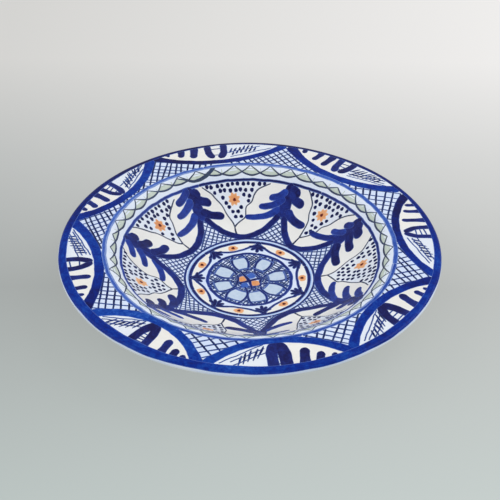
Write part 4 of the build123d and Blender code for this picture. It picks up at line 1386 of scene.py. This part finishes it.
def almonds():
    """The inner arc of each almond between two palmettes, an orange blush in it and the blush's heart."""
    arc_width = 2.8
    blush_radius = 4.5
    heart_radius = 1.9
    arcs = Paint(53, 0.07)
    blushes = Paint(54, 0.04, body=0.05)
    hearts = Paint(55, 0.1, body=0.08)
    for index, middle in enumerate(ALMONDS):
        start, end = almond_ends(index)
        tip = MEDALLION_INNER_RING[0] + 0.5
        quarter = ALMOND_ARC_RADIUS + 0.21 * (MEDALLION_INNER_RING[0] - ALMOND_ARC_RADIUS)
        bearings = (start, (start + middle) / 2, middle, (end + middle) / 2, end)
        points = [spot(*at) for at in zip((tip, quarter, ALMOND_ARC_RADIUS, quarter, tip), bearings)]
        load = 0.85 + arcs.chance.uniform(-0.1, 0.1)
        arcs.stroke(points, arc_width, load, (1, 1.1, 0.95, 1.1, 1), tremor=0.3)
        at = spot(ALMOND_DOT_RADIUS, middle + blushes.chance.uniform(-0.8, 0.8))

        def reach(bearings):
            return blush_radius + 0.6 * np.cos(np.radians(2 * (bearings - middle) + 180))

        blushes.blob(at, reach, 0.45, ragged=0.1)
        hearts.dot(at + hearts.chance.uniform(-0.4, 0.4, 2), heart_radius, 0.95, 0.2)
    arcs.finish("painted_almond_outlines", NAVY_PAINT, "cobalt", ["almond_outlines"])
    blushes.finish("painted_almond_blushes", ORANGE_PAINT, "orange", ["almond_blushes"])
    hearts.finish("painted_almond_hearts", RED_PAINT, "dark_red", ["almond_hearts"])


def palmettes():
    """Five short strokes that spread inward from a drop, between each two almonds."""
    drop_radius = 3.2
    leaf_width = 4.2
    longest = 13.2
    paint = Paint(56, 0.09)
    for index in range(len(ALMONDS)):
        bearing = almond_ends(index)[1]
        root = spot(MEDALLION_INNER_RING[0] + 0.5, bearing)
        paint.dot(root, drop_radius, 0.9, 0.1)
        for spread in (-56, -28, 0, 28, 56):
            length = longest - 0.05 * abs(spread)
            turn = bearing + 180 + spread + paint.chance.uniform(-4, 4)
            bend = bearing + 180 + 0.6 * spread
            points = [root, root + spot(0.5 * length, bend), root + spot(length, turn)]
            paint.stroke(points, leaf_width, 0.95, (0.95, 0.9, 1.0, 0.8), tremor=0.1)
    paint.finish("painted_palmettes", NAVY_PAINT, "navy", ["palmettes"])


def circle_places():
    """Centres of the rosette's interlaced circles, one between each two of its cells."""
    bearings = [middle_and_half(ROSETTE_CELLS, index)[0] for index in range(len(ROSETTE_CELLS))]
    return [spot(ROSETTE_CIRCLE_PLACE, bearing) for bearing in bearings]


def in_cell(x, y):
    """True in the rosette's cells: where two of its circles overlap, between two radii."""
    low, high = ROSETTE_CELL_RADII
    radius = np.hypot(x, y)
    count = sum(np.hypot(x - at[0], y - at[1]) < ROSETTE_CIRCLE for at in circle_places())
    return (count >= 2) & (radius > low) & (radius < high)


def rosette_rings():
    """The interlaced circles, the two ends of each cell, a cross between the diamonds, and the ring."""
    end_width = 2.3
    cross_width = 3.8
    paint = Paint(61, 0.09)
    ring = sum(ROSETTE_RING) / 2
    for at in circle_places():
        out = ROSETTE_CIRCLE_PLACE
        sweep = math.degrees(math.acos((out**2 + ROSETTE_CIRCLE**2 - ring**2) / (2 * out * ROSETTE_CIRCLE)))
        inward = math.degrees(math.atan2(*-at))
        wobble = paint.chance.uniform(0, 2 * np.pi)
        turns = inward + np.linspace(-sweep, sweep, 11)
        radii = ROSETTE_CIRCLE + 0.35 * np.cos(np.radians(turns * 2) + wobble)
        points = [at + spot(radius, turn) for radius, turn in zip(radii, turns)]
        paint.stroke(points, ROSETTE_LINE, 0.8 + paint.chance.uniform(-0.12, 0.12), tremor=0.2)
    for bearing in ROSETTE_CELLS:
        for radius, (half, bulge) in zip(ROSETTE_CELL_RADII, ROSETTE_CELL_ENDS):
            ends = (spot(radius, bearing - half), spot(radius + bulge, bearing), spot(radius, bearing + half))
            paint.stroke(ends, end_width, 0.75 + paint.chance.uniform(-0.15, 0.1), tremor=0.2)
    for first, middle, last in ROSETTE_CROSS:
        points = [spot(ROSETTE_CROSS_REACH, first), spot(1, middle), spot(ROSETTE_CROSS_REACH, last)]
        paint.stroke(points, cross_width, 0.9, (0.7, 1.1, 0.7), tremor=0.2)
    loads = ((0, 0.8), (90, 0.6), (180, 0.75), (270, 0.55), (360, 0.8))
    paint.ring(ROSETTE_RING, loads, 190, 0.35)
    paint.finish("painted_rosette_rings", NAVY_PAINT, "cobalt", ["rosette_rings"])


def rosette_lattice():
    """Fine lattice everywhere inside the ring but in the cells and at the heart."""

    def ground(x, y):
        radius = np.hypot(x, y)
        return (radius < ROSETTE_RING[0] + 0.5) & (radius > ROSETTE_HEART) & ~in_cell(x, y)

    line_width = 1.75
    reach = ROSETTE_RING[0]
    paint = Paint(62, 0.05, body=0.045, step=1.0)
    for turn in (38, 128):
        paint.hatch(spot(0, 0), turn, ROSETTE_PITCH, reach, ground, line_width, 1.0, bow=0.3, skew=2.5)
    paint.finish("painted_rosette_lattice", LINE_PAINT, "fine_line", ["rosette_lattice"])


def rosette_cells():
    """Pale wash in each cell, out to where a line from the cell's middle leaves it."""
    step = 0.25
    overlap = 0.3
    paint = Paint(63, 0.02, body=0.03)
    for bearing in ROSETTE_CELLS:
        middle = spot(sum(ROSETTE_CELL_RADII) / 2, bearing)

        def reach(bearings):
            rays = np.array([np.outer(np.arange(0, 16, step), spot(1, turn)) for turn in bearings])
            inside = in_cell(rays[..., 0] + middle[0], rays[..., 1] + middle[1])
            return np.argmin(inside, axis=1) * step + overlap

        paint.blob(middle, reach, 0.5, rings=5, ragged=0.02, count=40)
    paint.finish("painted_rosette_cells", BLUE_WASH, "pale_blue_wash", ["rosette_cells"])


def centre_diamonds():
    """Two orange and two light blue diamonds at the centre, with sides that are a little full."""
    half_diagonal = 5.2
    power = 1.3
    root = 0.77
    for name, places, material, slot, seed in (
        ("centre_diamonds_orange", ORANGE_DIAMONDS, ORANGE_PAINT, "orange", 64),
        ("centre_diamonds_blue", BLUE_DIAMONDS, SOFT_PAINT, "light_cobalt", 65),
    ):
        paint = Paint(seed, 0.11)
        for bearing, radius in places:

            def reach(angles):
                turn = np.radians(angles - bearing)
                return half_diagonal / (np.abs(np.cos(turn)) ** power + np.abs(np.sin(turn)) ** power) ** root

            paint.blob(spot(radius, bearing), reach, 0.6, rings=4, ragged=0.06, count=36)
        paint.finish("painted_" + name, material, slot, [name])


# ------------------------------------------------------------------ stage, light and camera


def floor():
    """Pale studio floor with painted light and shade: painted shadow beside the plate, darkest on the left,
    and painted light towards the far right. It also glows by itself, a painted light, so that its shadows
    stay soft.
    """
    finish = Finish("studio_floor", 0.8)
    place = finish.node("ShaderNodeSeparateXYZ", {0: finish.node("ShaderNodeTexCoord").outputs["Object"]})
    sideways = finish.spread(place.outputs["X"], -0.28, 0.36)
    away = finish.spread(place.outputs["Y"], -0.30, 0.42)
    # painted light and shade by place: darker beside the plate and on the left, lighter to the far right
    tone = finish.mix(sideways, finish.ramp(away, FLOOR_PAINTED_LIGHT_LEFT), finish.ramp(away, FLOOR_PAINTED_LIGHT_RIGHT))
    # part of the floor's brightness is its own glow, a painted light from no lamp
    finish.feed(finish.shader.inputs["Emission Color"], tone)
    finish.shader.inputs["Emission Strength"].default_value = FLOOR_GLOW
    finish.colour(finish.mix(1 - FLOOR_GLOW, linear(0, 0, 0), tone))
    finish.shader.inputs["Specular IOR Level"].default_value = 0.0
    mesh = bpy.data.meshes.new("floor")
    corners = [(FLOOR_REACH * x, FLOOR_REACH * y, 0) for x, y in ((-1, -1), (1, -1), (1, 1), (-1, 1))]
    mesh.from_pydata(corners, [], [(0, 1, 2, 3)])
    mesh.materials.append(finish.material)
    piece = bpy.data.objects.new("floor", mesh)
    bpy.context.scene.collection.objects.link(piece)


def aimed(name, data, place, way, lean=0.0):
    """A lamp or camera at a place, that looks along a way and leans about it by an angle in radians."""
    made = bpy.data.objects.new(name, data)
    made.location = place
    made.rotation_mode = "QUATERNION"
    made.rotation_quaternion = way.to_track_quat("-Z", "Y") @ Quaternion((0, 0, 1), lean)
    bpy.context.scene.collection.objects.link(made)
    return made


def lights():
    """Pale surroundings and three soft boxes that face the plate."""
    world = bpy.data.worlds.new("studio")
    world.use_nodes = True
    surroundings = world.node_tree.nodes["Background"].inputs
    surroundings["Color"].default_value = linear(*SKY)
    surroundings["Strength"].default_value = SKY_STRENGTH
    bpy.context.scene.world = world
    for name, (place, size, power) in SOFT_BOXES.items():
        light = bpy.data.lights.new(name, "AREA")
        light.shape = "RECTANGLE"
        light.size, light.size_y = size
        light.energy = power
        aimed(name, light, place, Vector(SOFT_BOX_AIM) - Vector(place))
    bpy.context.scene.view_settings.view_transform = "Standard"


def camera():
    """At the viewing angle of a person who stands before the table: 37 degrees down, from 1.8 m."""
    elevation = math.radians(CAMERA_ELEVATION)
    back = Vector((0, -math.cos(elevation), math.sin(elevation)))
    view = bpy.data.cameras.new("camera")
    view.sensor_width = 36.0
    view.lens = CAMERA_LENS
    view.shift_x, view.shift_y = CAMERA_SHIFT
    view.clip_start = 0.05
    view.clip_end = 50.0
    place = Vector((0, 0, LIP_TOP * MM)) + back * CAMERA_DISTANCE * RIM * MM
    bpy.context.scene.camera = aimed("camera", view, place, -back, CAMERA_LEAN)


camera()
glaze_pieces()
for paint_pass in (
    lip_band,
    rim_arcs,
    comb_teeth,
    leaf_loops,
    leaf_ticks,
    hatch_lines,
    rim_lattice,
    well_edge_line,
    cavetto_line,
    chain_border,
    petal_arcs,
    leaf_sprays,
    petal_outlines,
    petal_dots,
    petal_florets,
    star_lattice,
    medallion_rings,
    almonds,
    palmettes,
    rosette_rings,
    rosette_lattice,
    rosette_cells,
    centre_diamonds,
):
    paint_pass()
floor()
lights()
